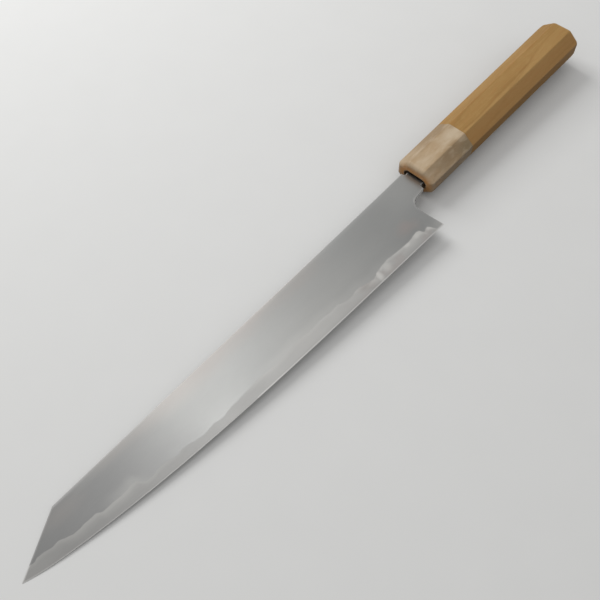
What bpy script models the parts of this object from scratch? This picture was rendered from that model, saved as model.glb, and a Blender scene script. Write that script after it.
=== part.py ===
"""Sujihiki slicing knife: a K-tip blade of three-layer steel in an eight-sided wooden handle.

The knife's own axes: X runs along the axis of the handle, from the tip at -X to the butt at +X,
with x = 0 on the front face of the ferrule. +Y points to the spine and +Z out of the left face
of the blade, whose middle plane is z = 0. One empty carries every piece. It leans the knife
forward until the blade and the ferrule touch the table, as the knife lies when it is put down.
"""

import math

import bmesh
import bpy
import numpy as np
from mathutils import Matrix, Vector

# Outline of the blade, in metres
EDGE_LENGTH = 0.270
NECK_LENGTH = 0.0138
HEEL_DROP = 0.0317
TIP_DROP = 0.0091
SPINE_RISE_NECK = 0.0069
SPINE_RISE_SHOULDER = 0.0076
SHOULDER_SETBACK = 0.0298
EDGE_STEADY_RISE = 0.0088
EDGE_BELLY_RISE = 0.0128
EDGE_BELLY_POWER = 3.9
EDGE_UPTURN_RUN = 0.020

# Choil: two straight runs that meet in a fillet, between the heel and the neck
CHOIL_UNDERCUT = 0.0022
CHOIL_RADIUS = 0.0062
NECK_DROP = 0.0089
NECK_FLARE = 0.0013

# Step from the neck to the narrower tang, just ahead of the ferrule
STEP_GAP = 0.0024
STEP_LEAN = 0.0003
TANG_DROP = 0.0063
TANG_RISE = 0.0049
TANG_LENGTH = 0.088
TANG_END_DROP = 0.0041
TANG_END_RISE = 0.0031

# Thicknesses of the steel. Where the spine starts to swell, and where the grind fades out, is
# measured in neck lengths ahead of the ferrule, and the two heights are shares of the blade's
SPINE_THICKNESS_NECK = 0.0032
SPINE_THICKNESS_HEEL = 0.0026
SPINE_THICKNESS_SHOULDER = 0.0012
TANG_END_THICKNESS = 0.0022
EDGE_BEVEL_HEIGHT = 0.0006
EDGE_BEVEL_THICKNESS = 0.0002
GRIND_POWER = 1.6
SWELL_START = 2.0
GRIND_FADE_START = 3.0
GRIND_FADE_END = 0.6
GRIND_FADE_LOW = 0.25
GRIND_FADE_HIGH = 0.56
CORE_THICKNESS_NECK = 0.0011
CORE_THICKNESS_TIP = 0.0005
EASED_EDGE = 0.00025
EASED_SHARE = 0.4
JOINT_RUN = 0.015
WELD_LINE = 0.00001

# Line where the cladding ends and the core shows, measured up from the cutting edge
CLAD_LINE_HEIGHT = 0.0069
CLAD_LINE_HEEL_HEIGHT = 0.0014
CLAD_LINE_HEEL_RUN = 0.014
CLAD_WAVE_START = 0.0293
CLAD_WAVE_LENGTH = 0.035
CLAD_WAVE_HEIGHT = 0.0009
CLAD_RIPPLE_LENGTH = 0.0143
CLAD_RIPPLE_HEIGHT = 0.0003

# Eight-sided handle, measured across its flats
HANDLE_LENGTH = 0.1474
FERRULE_LENGTH = 0.0379
FRONT_HEIGHT = 0.0245
FRONT_THICKNESS = 0.0185
FRONT_ACROSS_CORNERS = 0.0212
BUTT_HEIGHT = 0.0258
BUTT_THICKNESS = 0.0201
BUTT_ACROSS_CORNERS = 0.0228
CORNER_ANGLE = math.radians(52.0)
RIM_RADIUS = 0.0026
BUTT_RADIUS = 0.0022
LONG_EDGE_RADIUS = 0.0010
LONG_EDGE_BUTT_RADIUS = 0.0035
LONG_EDGE_EASING = 0.006

# Mouth of the ferrule, and the dowel that joins ferrule and handle round the tang
MOUTH_LENGTH = 0.0154
MOUTH_HEIGHT = 0.0064
MOUTH_OFFSET = -0.0005
FRONT_WALL = 0.0060
DOWEL_DIAMETER = 0.0145
DOWEL_PAST_TANG = 0.006
FIT = 0.0003
GLUE_LINE = 0.00005

# How finely the curved forms are divided
EDGE_COLUMNS = 54
CHOIL_COLUMNS = 13
NECK_COLUMNS = 2
TANG_COLUMNS = 5
CLAD_ROWS = (0.16, 0.36, 0.6, 0.82)
SLOPE_STEPS = 60
CLIMB_POINTS = 3
CORNER_POINTS = 3
FAN_SHARE = 0.3
EVEN_SHARE = 0.8
EVEN_BLEND = 4
BAND_ROWS = 3
ROUND_STEPS = 5
DOWEL_SIDES = 32
SHARP_ANGLE = math.radians(32.0)

HEEL_X = -NECK_LENGTH
TIP_X = HEEL_X - EDGE_LENGTH
SHOULDER_X = TIP_X + SHOULDER_SETBACK
STEP_X = -STEP_GAP
BLADE_HEIGHT = HEEL_DROP + SPINE_RISE_NECK


def smooth(value, start, end):
    """A soft step from 0 at start to 1 at end."""
    t = np.clip((value - start) / (end - start), 0.0, 1.0)
    return t * t * (3.0 - 2.0 * t)


def mix(a, b, t):
    """Straight blend from a at t = 0 to b at t = 1."""
    return a + (b - a) * t


def edge_y(x):
    """Cutting edge: a steady rise, a belly that grows with a power, and an upturn at the tip."""
    share = np.clip((HEEL_X - x) / EDGE_LENGTH, 0.0, None)
    rise = EDGE_STEADY_RISE * share + EDGE_BELLY_RISE * share ** EDGE_BELLY_POWER
    upturn = HEEL_DROP - TIP_DROP - EDGE_STEADY_RISE - EDGE_BELLY_RISE
    near_tip = np.clip(1.0 - (x - TIP_X) / EDGE_UPTURN_RUN, 0.0, None)
    return -HEEL_DROP + rise + upturn * near_tip ** 2


def spine_y(x):
    """Spine: a straight line from the step at the neck to the shoulder of the K-tip."""
    share = (STEP_X - x) / (STEP_X - SHOULDER_X)
    return mix(SPINE_RISE_NECK, SPINE_RISE_SHOULDER, share)


def clad_height(x):
    """Height of the clad line over the edge: level with two waves, and sinking at the heel."""
    run = HEEL_X - x
    wave = CLAD_WAVE_HEIGHT * np.sin(2.0 * math.pi * (run - CLAD_WAVE_START) / CLAD_WAVE_LENGTH)
    ripple = CLAD_RIPPLE_HEIGHT * np.sin(2.0 * math.pi * run / CLAD_RIPPLE_LENGTH)
    level = CLAD_LINE_HEIGHT + wave + ripple
    return mix(CLAD_LINE_HEEL_HEIGHT, level, smooth(run, 0.0, CLAD_LINE_HEEL_RUN))


def spine_half(x):
    """Half thickness at the spine: an even distal taper that swells into the neck."""
    share = np.clip((HEEL_X - x) / (HEEL_X - SHOULDER_X), 0.0, None)
    blade = mix(SPINE_THICKNESS_HEEL, SPINE_THICKNESS_SHOULDER, share)
    swell = (SPINE_THICKNESS_NECK - SPINE_THICKNESS_HEEL) * smooth(x, SWELL_START * HEEL_X, STEP_X)
    tang = (SPINE_THICKNESS_NECK - TANG_END_THICKNESS) * (x - STEP_X) / (TANG_LENGTH - STEP_X)
    return 0.5 * (blade + swell - np.clip(tang, 0.0, None))


def core_half(x):
    """Half thickness of the core layer, which thins evenly from the neck to the tip."""
    share = np.clip((STEP_X - x) / (STEP_X - TIP_X), 0.0, None)
    return 0.5 * mix(CORE_THICKNESS_NECK, CORE_THICKNESS_TIP, share)


def face_half(x, y):
    """Half thickness of the blade at a point: a convex grind that fades out in the neck."""
    height = y - edge_y(x)
    total = spine_y(x) - edge_y(x)
    full = spine_half(x)
    shoulder = 0.5 * EDGE_BEVEL_THICKNESS
    climb = np.clip((height - EDGE_BEVEL_HEIGHT) / (total - EDGE_BEVEL_HEIGHT), 0.0, 1.0)
    grind = mix(shoulder, full, 1.0 - (1.0 - climb) ** GRIND_POWER)
    bevel = shoulder * height / EDGE_BEVEL_HEIGHT
    ground = np.where(height < EDGE_BEVEL_HEIGHT, bevel, grind)
    neck = smooth(x, GRIND_FADE_START * HEEL_X, GRIND_FADE_END * HEEL_X)
    upper = smooth(height / BLADE_HEIGHT, GRIND_FADE_LOW, GRIND_FADE_HIGH)
    return mix(ground, full, neck * upper)


def fillet(start, corner, end, radius, count):
    """Points along a rounded corner, from its first tangent point to its last."""
    before = (start - corner).normalized()
    after = (end - corner).normalized()
    half_turn = 0.5 * before.angle(after)
    centre = corner + (before + after).normalized() * (radius / math.sin(half_turn))
    reach = radius / math.tan(half_turn)
    first = corner + before * reach - centre
    last = corner + after * reach - centre
    return [centre + first.slerp(last, i / (count - 1)).normalized() * radius for i in range(count)]


def lower_outline():
    """Lower border of the upper steel: clad line, choil, neck, step and tang, from tip to end."""
    tip = Vector((TIP_X, -TIP_DROP))
    shoulder = Vector((SHOULDER_X, SPINE_RISE_SHOULDER))
    steps = np.linspace(0.0, 1.0, SLOPE_STEPS)
    slope_x = mix(tip.x, shoulder.x, steps)
    slope_y = mix(tip.y, shoulder.y, steps)
    above = slope_y - edge_y(slope_x) - clad_height(slope_x)
    clad_start = np.interp(0.0, above, slope_x)

    heel = Vector((HEEL_X, -HEEL_DROP))
    corner = Vector((HEEL_X - CHOIL_UNDERCUT, -NECK_DROP - NECK_FLARE))
    neck_end = Vector((STEP_X - STEP_LEAN, -NECK_DROP))
    up = (corner - heel).normalized()
    clad_end = heel + up * (CLAD_LINE_HEEL_HEIGHT / up.y)

    line_x = np.linspace(clad_start, clad_end.x, EDGE_COLUMNS)
    line = np.stack([line_x, edge_y(line_x) + clad_height(line_x)], axis=1)
    line[-1] = clad_end
    rounding = fillet(clad_end, corner, neck_end, CHOIL_RADIUS, CHOIL_COLUMNS - CLIMB_POINTS)
    parts = CLIMB_POINTS + 1
    climb = [clad_end.lerp(rounding[0], (i + 1) / parts) for i in range(CLIMB_POINTS)]
    neck = [rounding[-1].lerp(neck_end, (i + 1) / NECK_COLUMNS) for i in range(NECK_COLUMNS)]
    tang_start = Vector((STEP_X, -TANG_DROP))
    tang_end = Vector((TANG_LENGTH, -TANG_END_DROP))
    tang = [tang_start.lerp(tang_end, i / TANG_COLUMNS) for i in range(TANG_COLUMNS + 1)]
    points = climb + rounding + neck + tang
    return np.concatenate([line, np.array([tuple(p) for p in points])])


def upper_outline(lower):
    """Upper border of the steel, one point for each point of the lower border."""
    across = lower[:, 0].copy()
    blade = np.arange(len(across)) < EDGE_COLUMNS
    tip_share = np.clip((across - across[0]) / (FAN_SHARE * EDGE_LENGTH), 0.0, 1.0)
    across += np.where(blade, (SHOULDER_X - across[0]) * (1.0 - tip_share) ** 2, 0.0)
    step = len(across) - TANG_COLUMNS - 2
    first = int(EVEN_SHARE * EDGE_COLUMNS)
    even = np.arange(first, step + 1)
    spread = mix(across[first], STEP_X - STEP_LEAN, (even - first) / (step - first))
    across[even] = mix(across[even], spread, smooth(even, first, first + EVEN_BLEND))
    heights = spine_y(across)
    tang = np.arange(step + 1, len(across))
    along = (across[tang] - STEP_X) / (TANG_LENGTH - STEP_X)
    heights[tang] = mix(TANG_RISE, TANG_END_RISE, along)
    return np.stack([across, heights], axis=1)


def steel_plan():
    """Plan of the blade: its points, the triangles of the clad part and of the bare edge band."""
    lower = lower_outline()
    upper = upper_outline(lower)
    reach = np.linalg.norm(upper - lower, axis=1)
    ease = EASED_EDGE / reach
    shares = [np.zeros_like(reach), ease]
    shares += [np.full_like(reach, share) for share in CLAD_ROWS]
    shares += [1.0 - ease, np.ones_like(reach)]
    shares = np.stack(shares)[:, :, None]
    clad = mix(lower[None], upper[None], shares)

    line = lower[:EDGE_COLUMNS]
    edge_x = np.linspace(TIP_X, HEEL_X, EDGE_COLUMNS)
    edge = np.stack([edge_x, edge_y(edge_x)], axis=1)
    bevel = EDGE_BEVEL_HEIGHT / (line[:, 1] - edge[:, 1])
    band_shares = np.stack([np.zeros_like(bevel), bevel, 0.5 * (1.0 + bevel)])[:, :, None]
    band = mix(edge[None], line[None], band_shares)

    rows, columns = clad.shape[:2]
    clad_index = np.arange(rows * columns).reshape(rows, columns)
    band_index = rows * columns + np.arange(BAND_ROWS * EDGE_COLUMNS).reshape(BAND_ROWS, -1)
    band_index = np.concatenate([band_index, clad_index[:1, :EDGE_COLUMNS]])
    points = np.concatenate([clad.reshape(-1, 2), band.reshape(-1, 2)])
    return points, cell_triangles(clad_index), cell_triangles(band_index)


def cell_triangles(index):
    """Two triangles for each cell of a grid of point numbers, all cut along the same diagonal."""
    a = index[:-1, :-1].ravel()
    b = index[:-1, 1:].ravel()
    c = index[1:, 1:].ravel()
    d = index[1:, :-1].ravel()
    return np.concatenate([np.stack([a, b, c], axis=1), np.stack([a, c, d], axis=1)])


def joint_half(x, y):
    """Half thickness of the core: it meets the face at the clad line and levels out above it."""
    line_y = edge_y(x) + clad_height(x)
    start = face_half(x, line_y)
    rise = 1.0 - np.exp(-np.clip(y - line_y, 0.0, None) / JOINT_RUN)
    return mix(start, core_half(x), rise)


def layer_heights(points):
    """Heights of the outer face, and of the joint between core and cladding, at each point."""
    columns = EDGE_COLUMNS + CHOIL_COLUMNS + NECK_COLUMNS + TANG_COLUMNS + 1
    clad_count = len(points) - BAND_ROWS * EDGE_COLUMNS
    grid = np.arange(clad_count).reshape(-1, columns)
    line = grid[0, :EDGE_COLUMNS]
    outer = face_half(points[:, 0], points[:, 1])
    joint = joint_half(points[:, 0], points[:, 1])
    joint[line] = outer[line]
    joint[clad_count:] = outer[clad_count:]
    border = np.concatenate([grid[0, EDGE_COLUMNS:], grid[-1]])
    outer[border] -= np.minimum(EASED_EDGE, EASED_SHARE * (outer[border] - joint[border]))
    return outer, joint


def plate(name, points, triangles, top, bottom):
    """Closed solid between two heights over one plan, with upright walls round its border."""
    count = len(points)
    verts = np.concatenate([np.column_stack([points, top]), np.column_stack([points, bottom])])
    faces = [tuple(t) for t in triangles.tolist()]
    faces += [(a + count, c + count, b + count) for a, b, c in triangles.tolist()]
    sides = {(t[i], t[(i + 1) % 3]) for t in triangles.tolist() for i in range(3)}
    faces += [(b, a, a + count, b + count) for a, b in sorted(sides) if (b, a) not in sides]
    mesh = bpy.data.meshes.new(name)
    mesh.from_pydata(verts.tolist(), [], faces)
    bm = bmesh.new()
    bm.from_mesh(mesh)
    bmesh.ops.remove_doubles(bm, verts=bm.verts, dist=1e-8)
    loose = [v for v in bm.verts if not v.link_faces]
    bmesh.ops.delete(bm, geom=loose, context="VERTS")
    bm.to_mesh(mesh)
    bm.free()
    return mesh


def octagon(x, inset):
    """Corners of the handle's section at x, drawn in from every flat by the inset."""
    share = x / HANDLE_LENGTH
    half_y = 0.5 * mix(FRONT_HEIGHT, BUTT_HEIGHT, share) - inset
    half_z = 0.5 * mix(FRONT_THICKNESS, BUTT_THICKNESS, share) - inset
    corner = 0.5 * mix(FRONT_ACROSS_CORNERS, BUTT_ACROSS_CORNERS, share) - inset
    near_y = (corner - math.sin(CORNER_ANGLE) * half_z) / math.cos(CORNER_ANGLE)
    near_z = (corner - math.cos(CORNER_ANGLE) * half_y) / math.sin(CORNER_ANGLE)
    quarter = [(half_y, near_z), (near_y, half_z)]
    half = quarter + [(-y, z) for y, z in reversed(quarter)]
    return [Vector((x, y, z)) for y, z in half + [(-y, -z) for y, z in half]]


def section(x, inset):
    """The handle's section at x: its eight corners are slightly rounded, and more at the butt."""
    corners = octagon(x, inset)
    easing = smooth(x, HANDLE_LENGTH - LONG_EDGE_EASING, HANDLE_LENGTH)
    radius = float(mix(LONG_EDGE_RADIUS, LONG_EDGE_BUTT_RADIUS, easing))
    points = []
    for i, corner in enumerate(corners):
        after = corners[(i + 1) % len(corners)]
        points += fillet(corners[i - 1], corner, after, radius, CORNER_POINTS)
    return points


def rim(radius):
    """Setback and inset of each step round a rim, from the end face to the side."""
    turns = [0.5 * math.pi * i / ROUND_STEPS for i in range(ROUND_STEPS + 1)]
    return [(radius * (1.0 - math.cos(a)), radius * (1.0 - math.sin(a))) for a in turns]


def bar(name, sections):
    """Eight-sided bar: its front face is extruded through all of the sections in turn."""
    bm = bmesh.new()
    front = bm.faces.new([bm.verts.new(point) for point in section(*sections[0])])
    face = front
    for place in sections[1:]:
        grown = bmesh.ops.extrude_face_region(bm, geom=[face])
        if face != front:
            bmesh.ops.delete(bm, geom=[face], context="FACES_ONLY")
        face = next(item for item in grown["geom"] if isinstance(item, bmesh.types.BMFace))
        for vert, point in zip(face.verts, section(*place)):
            vert.co = point
    bmesh.ops.recalc_face_normals(bm, faces=bm.faces)
    mesh = bpy.data.meshes.new(name)
    bm.to_mesh(mesh)
    bm.free()
    return mesh


def round_bar(name, diameter, start, end):
    """Cylinder along X between two places."""
    bm = bmesh.new()
    turn = Matrix.Rotation(0.5 * math.pi, 4, "Y")
    place = Matrix.Translation((0.5 * (start + end), 0.0, 0.0)) @ turn
    bmesh.ops.create_cone(bm, cap_ends=True, segments=DOWEL_SIDES, radius1=0.5 * diameter,
                          radius2=0.5 * diameter, depth=end - start, matrix=place)
    mesh = bpy.data.meshes.new(name)
    bm.to_mesh(mesh)
    bm.free()
    return mesh


def mouth_bar(name, start, end):
    """Prism along X with the mouth's outline: two straight sides and two half-round ends."""
    radius = 0.5 * MOUTH_HEIGHT
    reach = 0.5 * MOUTH_LENGTH - radius
    steps = 2 * ROUND_STEPS
    bm = bmesh.new()
    verts = []
    for side in (1.0, -1.0):
        for i in range(steps + 1):
            turn = math.pi * i / steps
            y = MOUTH_OFFSET + side * (reach + radius * math.sin(turn))
            verts.append(bm.verts.new((start, y, side * radius * math.cos(turn))))
    face = bm.faces.new(verts)
    grown = bmesh.ops.extrude_face_region(bm, geom=[face])
    far = [item for item in grown["geom"] if isinstance(item, bmesh.types.BMVert)]
    bmesh.ops.translate(bm, verts=far, vec=(end - start, 0.0, 0.0))
    bmesh.ops.recalc_face_normals(bm, faces=bm.faces)
    mesh = bpy.data.meshes.new(name)
    bm.to_mesh(mesh)
    bm.free()
    return mesh


def tang_wedge(name, start, end):
    """Block with the tang's own taper in both directions, larger by the fit all round."""
    bm = bmesh.new()
    bmesh.ops.create_cube(bm, size=2.0)
    for vert in bm.verts:
        x = mix(start, end, 0.5 * (vert.co.x + 1.0))
        along = (x - STEP_X) / (TANG_LENGTH - STEP_X)
        low = -mix(TANG_DROP, TANG_END_DROP, along) - FIT
        high = mix(TANG_RISE, TANG_END_RISE, along) + FIT
        vert.co.z *= spine_half(x) + FIT
        vert.co.y = mix(low, high, 0.5 * (vert.co.y + 1.0))
        vert.co.x = x
    mesh = bpy.data.meshes.new(name)
    bm.to_mesh(mesh)
    bm.free()
    return mesh


def new_collection(name):
    """A collection linked to the scene."""
    collection = bpy.data.collections.new(name)
    bpy.context.scene.collection.children.link(collection)
    return collection


def new_material(name, colour, roughness, metallic):
    """Principled material with a plain colour."""
    material = bpy.data.materials.new(name)
    material.use_nodes = True
    shader = material.node_tree.nodes["Principled BSDF"]
    shader.inputs["Base Color"].default_value = (*colour, 1.0)
    shader.inputs["Roughness"].default_value = roughness
    shader.inputs["Metallic"].default_value = metallic
    return material


def add_part(mesh, material, collection, root):
    """Object for one piece, carried by the knife's empty."""
    mesh.materials.append(material)
    mesh.shade_smooth()
    mesh.set_sharp_from_angle(angle=SHARP_ANGLE)
    part = bpy.data.objects.new(mesh.name, mesh)
    part.parent = root
    collection.objects.link(part)
    return part


def add_cutter(mesh, collection, root):
    """Object that only cuts others."""
    cutter = bpy.data.objects.new(mesh.name, mesh)
    cutter.parent = root
    cutter.hide_render = True
    cutter.display_type = "WIRE"
    collection.objects.link(cutter)
    return cutter


def cut(part, cutter):
    """Take the cutter's volume out of the part."""
    modifier = part.modifiers.new("cut_" + cutter.name, "BOOLEAN")
    modifier.operation = "DIFFERENCE"
    modifier.solver = "EXACT"
    modifier.object = cutter


def lean_angle(points, face):
    """Turn that sets the knife down on its blade near the tip and on the ferrule's front edge.

    A point of the blade and one of the handle are level at the angle of the line through them.
    For each point of the blade the steepest such angle counts, and the blade point that needs
    the least turn is the first one to touch the table.
    """
    stations = rim(RIM_RADIUS) + [(HANDLE_LENGTH, 0.0)]
    handle_x = np.array([x for x, inset in stations])
    handle_z = np.array([min(p.z for p in section(x, inset)) for x, inset in stations])
    drop = -face[:, None] - handle_z[None]
    run = handle_x[None] - points[:, :1]
    ahead = points[:, 0] < HEEL_X
    return float(np.arctan2(drop, run)[ahead].max(axis=1).min())


def settle(root, parts, lean):
    """Stand the leaning knife on the floor, with its box centred over the origin."""
    root.rotation_euler = (0.0, -lean, 0.0)
    bpy.context.view_layer.update()
    depsgraph = bpy.context.evaluated_depsgraph_get()
    corners = []
    for part in parts:
        shown = part.evaluated_get(depsgraph)
        corners += [shown.matrix_world @ vert.co for vert in shown.data.vertices]
    places = np.array([tuple(corner) for corner in corners])
    low = places.min(axis=0)
    high = places.max(axis=0)
    root.location = (-0.5 * (low[0] + high[0]), -0.5 * (low[1] + high[1]), -low[2])


def build():
    """Model the six pieces of the knife and lay it down with its left face up."""
    for old in list(bpy.data.objects):
        bpy.data.objects.remove(old, do_unlink=True)
    knife = new_collection("sujihiki_knife")
    cutters = new_collection("cutters")
    root = bpy.data.objects.new("knife_at_rest", None)
    knife.objects.link(root)

    points, clad, band = steel_plan()
    outer, joint = layer_heights(points)
    core_mesh = plate("core_steel", points, np.concatenate([clad, band]), joint, -joint)
    face = outer + WELD_LINE
    seat = joint + WELD_LINE
    left_mesh = plate("cladding_left", points, clad, face, seat)
    right_mesh = plate("cladding_right", points, clad, -seat, -face)
    core_steel = new_material("hard_core_steel", (0.46, 0.46, 0.44), 0.30, 1.0)
    soft_steel = new_material("satin_cladding", (0.36, 0.37, 0.36), 0.38, 1.0)
    core = add_part(core_mesh, core_steel, knife, root)
    left = add_part(left_mesh, soft_steel, knife, root)
    right = add_part(right_mesh, soft_steel, knife, root)

    horn = new_material("pale_horn", (0.58, 0.42, 0.25), 0.35, 0.0)
    ferrule_mesh = bar("ferrule", rim(RIM_RADIUS) + [(FERRULE_LENGTH, 0.0)])
    ferrule = add_part(ferrule_mesh, horn, knife, root)

    back = [(HANDLE_LENGTH - setback, inset) for setback, inset in reversed(rim(BUTT_RADIUS))]
    easing_start = (HANDLE_LENGTH - LONG_EDGE_EASING, 0.0)
    body_start = (FERRULE_LENGTH + GLUE_LINE, 0.0)
    wood = new_material("oiled_wood", (0.33, 0.21, 0.09), 0.55, 0.0)
    body = add_part(bar("handle_body", [body_start, easing_start] + back), wood, knife, root)

    dowel_end = TANG_LENGTH + DOWEL_PAST_TANG
    dowel_wood = new_material("dowel_wood", (0.50, 0.38, 0.22), 0.7, 0.0)
    dowel_mesh = round_bar("tang_dowel", DOWEL_DIAMETER, FRONT_WALL + FIT, dowel_end)
    dowel = add_part(dowel_mesh, dowel_wood, knife, root)

    bore_diameter = DOWEL_DIAMETER + 2.0 * FIT
    bore = add_cutter(round_bar("dowel_bore", bore_diameter, FRONT_WALL, dowel_end + FIT),
                      cutters, root)
    mouth = add_cutter(mouth_bar("ferrule_mouth", -RIM_RADIUS, FRONT_WALL + FIT), cutters, root)
    slot = add_cutter(tang_wedge("tang_slot", 0.0, TANG_LENGTH + FIT), cutters, root)
    cut(ferrule, bore)
    cut(ferrule, mouth)
    cut(body, bore)
    cut(dowel, slot)
    settle(root, [core, left, right, ferrule, body, dowel], lean_angle(points, face))


build()
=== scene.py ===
"""Sujihiki knife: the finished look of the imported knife, laid out as a Blender add-on.

Every new piece is a surface of two parameters, worked out as whole arrays in the knife's own
axes. X runs along the axis of the handle, from the tip at -X to the butt at +X, with x = 0 on the
front face of the ferrule. +Y points to the spine and +Z out of the left face of the blade, whose
middle plane is z = 0. REST_PLACE and REST_LEAN then lay the knife on the table, as in the frame.
"""

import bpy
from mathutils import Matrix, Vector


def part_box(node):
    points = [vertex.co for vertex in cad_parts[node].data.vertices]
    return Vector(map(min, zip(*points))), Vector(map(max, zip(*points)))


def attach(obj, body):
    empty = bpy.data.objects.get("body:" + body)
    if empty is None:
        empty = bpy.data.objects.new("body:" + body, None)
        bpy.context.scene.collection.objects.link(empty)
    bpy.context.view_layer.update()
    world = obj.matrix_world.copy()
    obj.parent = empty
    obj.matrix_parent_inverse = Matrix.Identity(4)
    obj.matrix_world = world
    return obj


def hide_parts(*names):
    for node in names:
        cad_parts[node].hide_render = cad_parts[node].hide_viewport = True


bl_info = {
    "name": "Sujihiki Knife",
    "version": (1, 0, 0),
    "blender": (4, 5, 0),
    "location": "View3D > Sidebar > Knife",
    "description": "Builds the layered blade, horn ferrule and wooden handle of a slicing knife",
    "category": "Add Mesh",
}

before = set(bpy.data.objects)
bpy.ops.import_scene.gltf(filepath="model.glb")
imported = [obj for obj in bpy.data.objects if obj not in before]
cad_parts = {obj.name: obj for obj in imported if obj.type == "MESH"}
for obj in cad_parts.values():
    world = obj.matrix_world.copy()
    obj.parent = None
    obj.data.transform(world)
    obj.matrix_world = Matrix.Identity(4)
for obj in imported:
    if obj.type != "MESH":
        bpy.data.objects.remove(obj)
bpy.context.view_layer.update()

import math

import bpy
import numpy as np
from bpy.props import FloatProperty, FloatVectorProperty, PointerProperty
from bpy.types import Operator, Panel, PropertyGroup
from mathutils import Matrix, Vector

# How the knife lies: where the front face of the ferrule has its middle, the lean that sets the
# knife down, how far a piece may be from its CAD node's box, and one millimetre
REST_PLACE = (0.0680394, 0.0094049, 0.0091761)
REST_LEAN = math.radians(1.83487)
PLACE_TOLERANCE = 0.0015
MILLIMETRE = 0.001

# Line where the cladding ends, in millimetres: the run from the heel, and the height over the edge
CLAD_LINE = (
    (0.0, 0.75), (4.6, 0.85), (5.6, 2.2), (6.4, 4.3), (7.6, 5.4), (9.2, 5.2), (10.6, 4.4),
    (11.5, 4.9), (12.4, 7.0), (14.5, 7.5), (17.0, 7.2), (19.5, 6.6), (22.0, 6.4), (27.0, 6.6),
    (31.0, 6.8), (34.5, 7.1), (38.0, 7.5), (42.0, 7.1), (46.0, 6.5), (48.2, 6.1), (49.6, 5.2),
    (52.0, 4.6), (55.0, 5.1), (58.0, 6.0), (61.0, 6.7), (64.0, 6.8), (67.0, 5.9), (70.0, 5.9),
    (73.0, 6.5), (76.0, 8.1), (79.0, 7.9), (82.0, 7.7), (86.0, 8.2), (90.0, 8.2), (94.0, 7.8),
    (98.0, 7.8), (103.0, 8.2), (107.0, 8.2), (112.0, 7.5), (117.0, 6.8), (122.0, 6.9),
    (131.0, 7.3), (140.0, 6.7), (145.0, 6.3), (148.0, 5.9), (151.0, 6.0), (154.0, 5.5),
    (157.0, 4.7), (160.0, 4.6), (163.0, 5.3), (166.0, 5.0), (169.0, 4.3), (172.0, 4.4),
    (175.0, 4.8), (178.0, 5.5), (181.0, 5.9), (183.0, 5.8), (185.2, 4.9), (188.0, 5.4),
    (191.0, 6.0), (194.5, 6.0), (197.0, 5.8), (199.0, 4.9), (203.4, 4.8), (205.0, 6.0),
    (206.8, 8.0), (209.5, 8.2), (212.5, 7.3), (216.0, 6.9), (220.0, 6.9), (223.0, 6.6),
    (226.0, 6.3), (229.0, 7.7), (232.0, 7.3), (235.0, 7.1), (238.5, 6.4), (241.5, 6.2),
    (244.0, 6.8), (248.0, 7.8), (251.5, 7.0), (255.0, 7.3), (258.5, 7.0), (261.0, 5.7),
)

# How finely the pieces are divided
BLADE_COLUMNS = 520
COLUMN_PACKING = 0.45
TIP_OFFSETS = (0.0001, 0.00025, 0.0005, 0.0009, 0.0014)
HEEL_OFFSETS = (0.00004, 0.0001, 0.00018)
SLOPE_STEPS = 400
CLIMB_POINTS = 16
CHOIL_POINTS = 40
NECK_POINTS = 10
TANG_POINTS = 12
BORDER_OFFSETS = (0.00004, 0.0001, 0.00018, 0.00028, 0.00038, 0.0006)
INNER_ROWS = 12
CORNER_POINTS = 6
FLAT_POINTS = 9
RIM_POINTS = 10
SIDE_STATIONS = 12
EASING_STATIONS = 8
BORE_STATIONS = 4
BAND_ROWS = 4
FACE_LOOPS = 3
SHARP_ANGLE = math.radians(34.0)

# Thickness of the blade: the power of its convex grind, where the spine starts to swell and the
# sides turn flat, in lengths of the neck ahead of the ferrule, how high up they turn flat, as
# shares of the height at the heel, and the run over which the joint of the layers levels out
GRIND_POWER = 1.6
SWELL_START = 2.0
FLAT_NECK_START, FLAT_NECK_END = 3.0, 0.6
FLAT_NECK_LOW, FLAT_NECK_HIGH = 0.25, 0.56
JOINT_RUN = 0.015

# Rows at the edge and on both sides of the bevel's upper end, as shares of the bevel, the share
# of a thin face that its easing may take, the share of the edge over which the columns fan out
# at the tip, and the run from the heel where they start to spread towards the choil
BEVEL_ROWS = (0.0, 0.97, 1.03)
EASED_SHARE = 0.6
FAN_SHARE = 0.3
SPREAD_START = 0.060

# How far the joint stays under the face, how far the cladding stays off the core, and the
# least rise of a ray that an opening's radius is divided by
JOINT_GAP = 0.00002
WELD_GAP = 0.00001
LEAST_RISE = 1e-9

# What the lamps face, and each lamp's direction from there, its distance and its two sizes
LAMP_AIM = (-0.095, 0.0, 0.005)
KEY_LAMP = ((0.195, 0.78, 0.61), 1.01, (0.5, 0.5))
OVERHEAD_LAMP = ((0.081, 0.22, 0.97), 1.3, (0.18, 0.50))

# Half the floor's side, the darker end of its mottle, and the camera's sensor and near limit
FLOOR_HALF = 4.0
FLOOR_SHADE = 0.97
SENSOR_WIDTH = 36.0
CLIP_START = 0.01


def length(name, words, default):
    """A size that is set in metres."""
    return FloatProperty(name=name, description=words, default=default, subtype="DISTANCE",
                         unit="LENGTH", precision=5)


def turn(name, words, degrees):
    """An angle."""
    return FloatProperty(name=name, description=words, default=math.radians(degrees),
                         subtype="ANGLE", unit="ROTATION")


def share(name, words, default):
    """A share from 0 to 1."""
    return FloatProperty(name=name, description=words, default=default, min=0.0, max=1.0,
                         subtype="FACTOR")


def colour(name, words, default):
    """A colour in linear red, green and blue."""
    return FloatVectorProperty(name=name, description=words, default=default, min=0.0, max=1.0,
                               size=3, subtype="COLOR")


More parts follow.
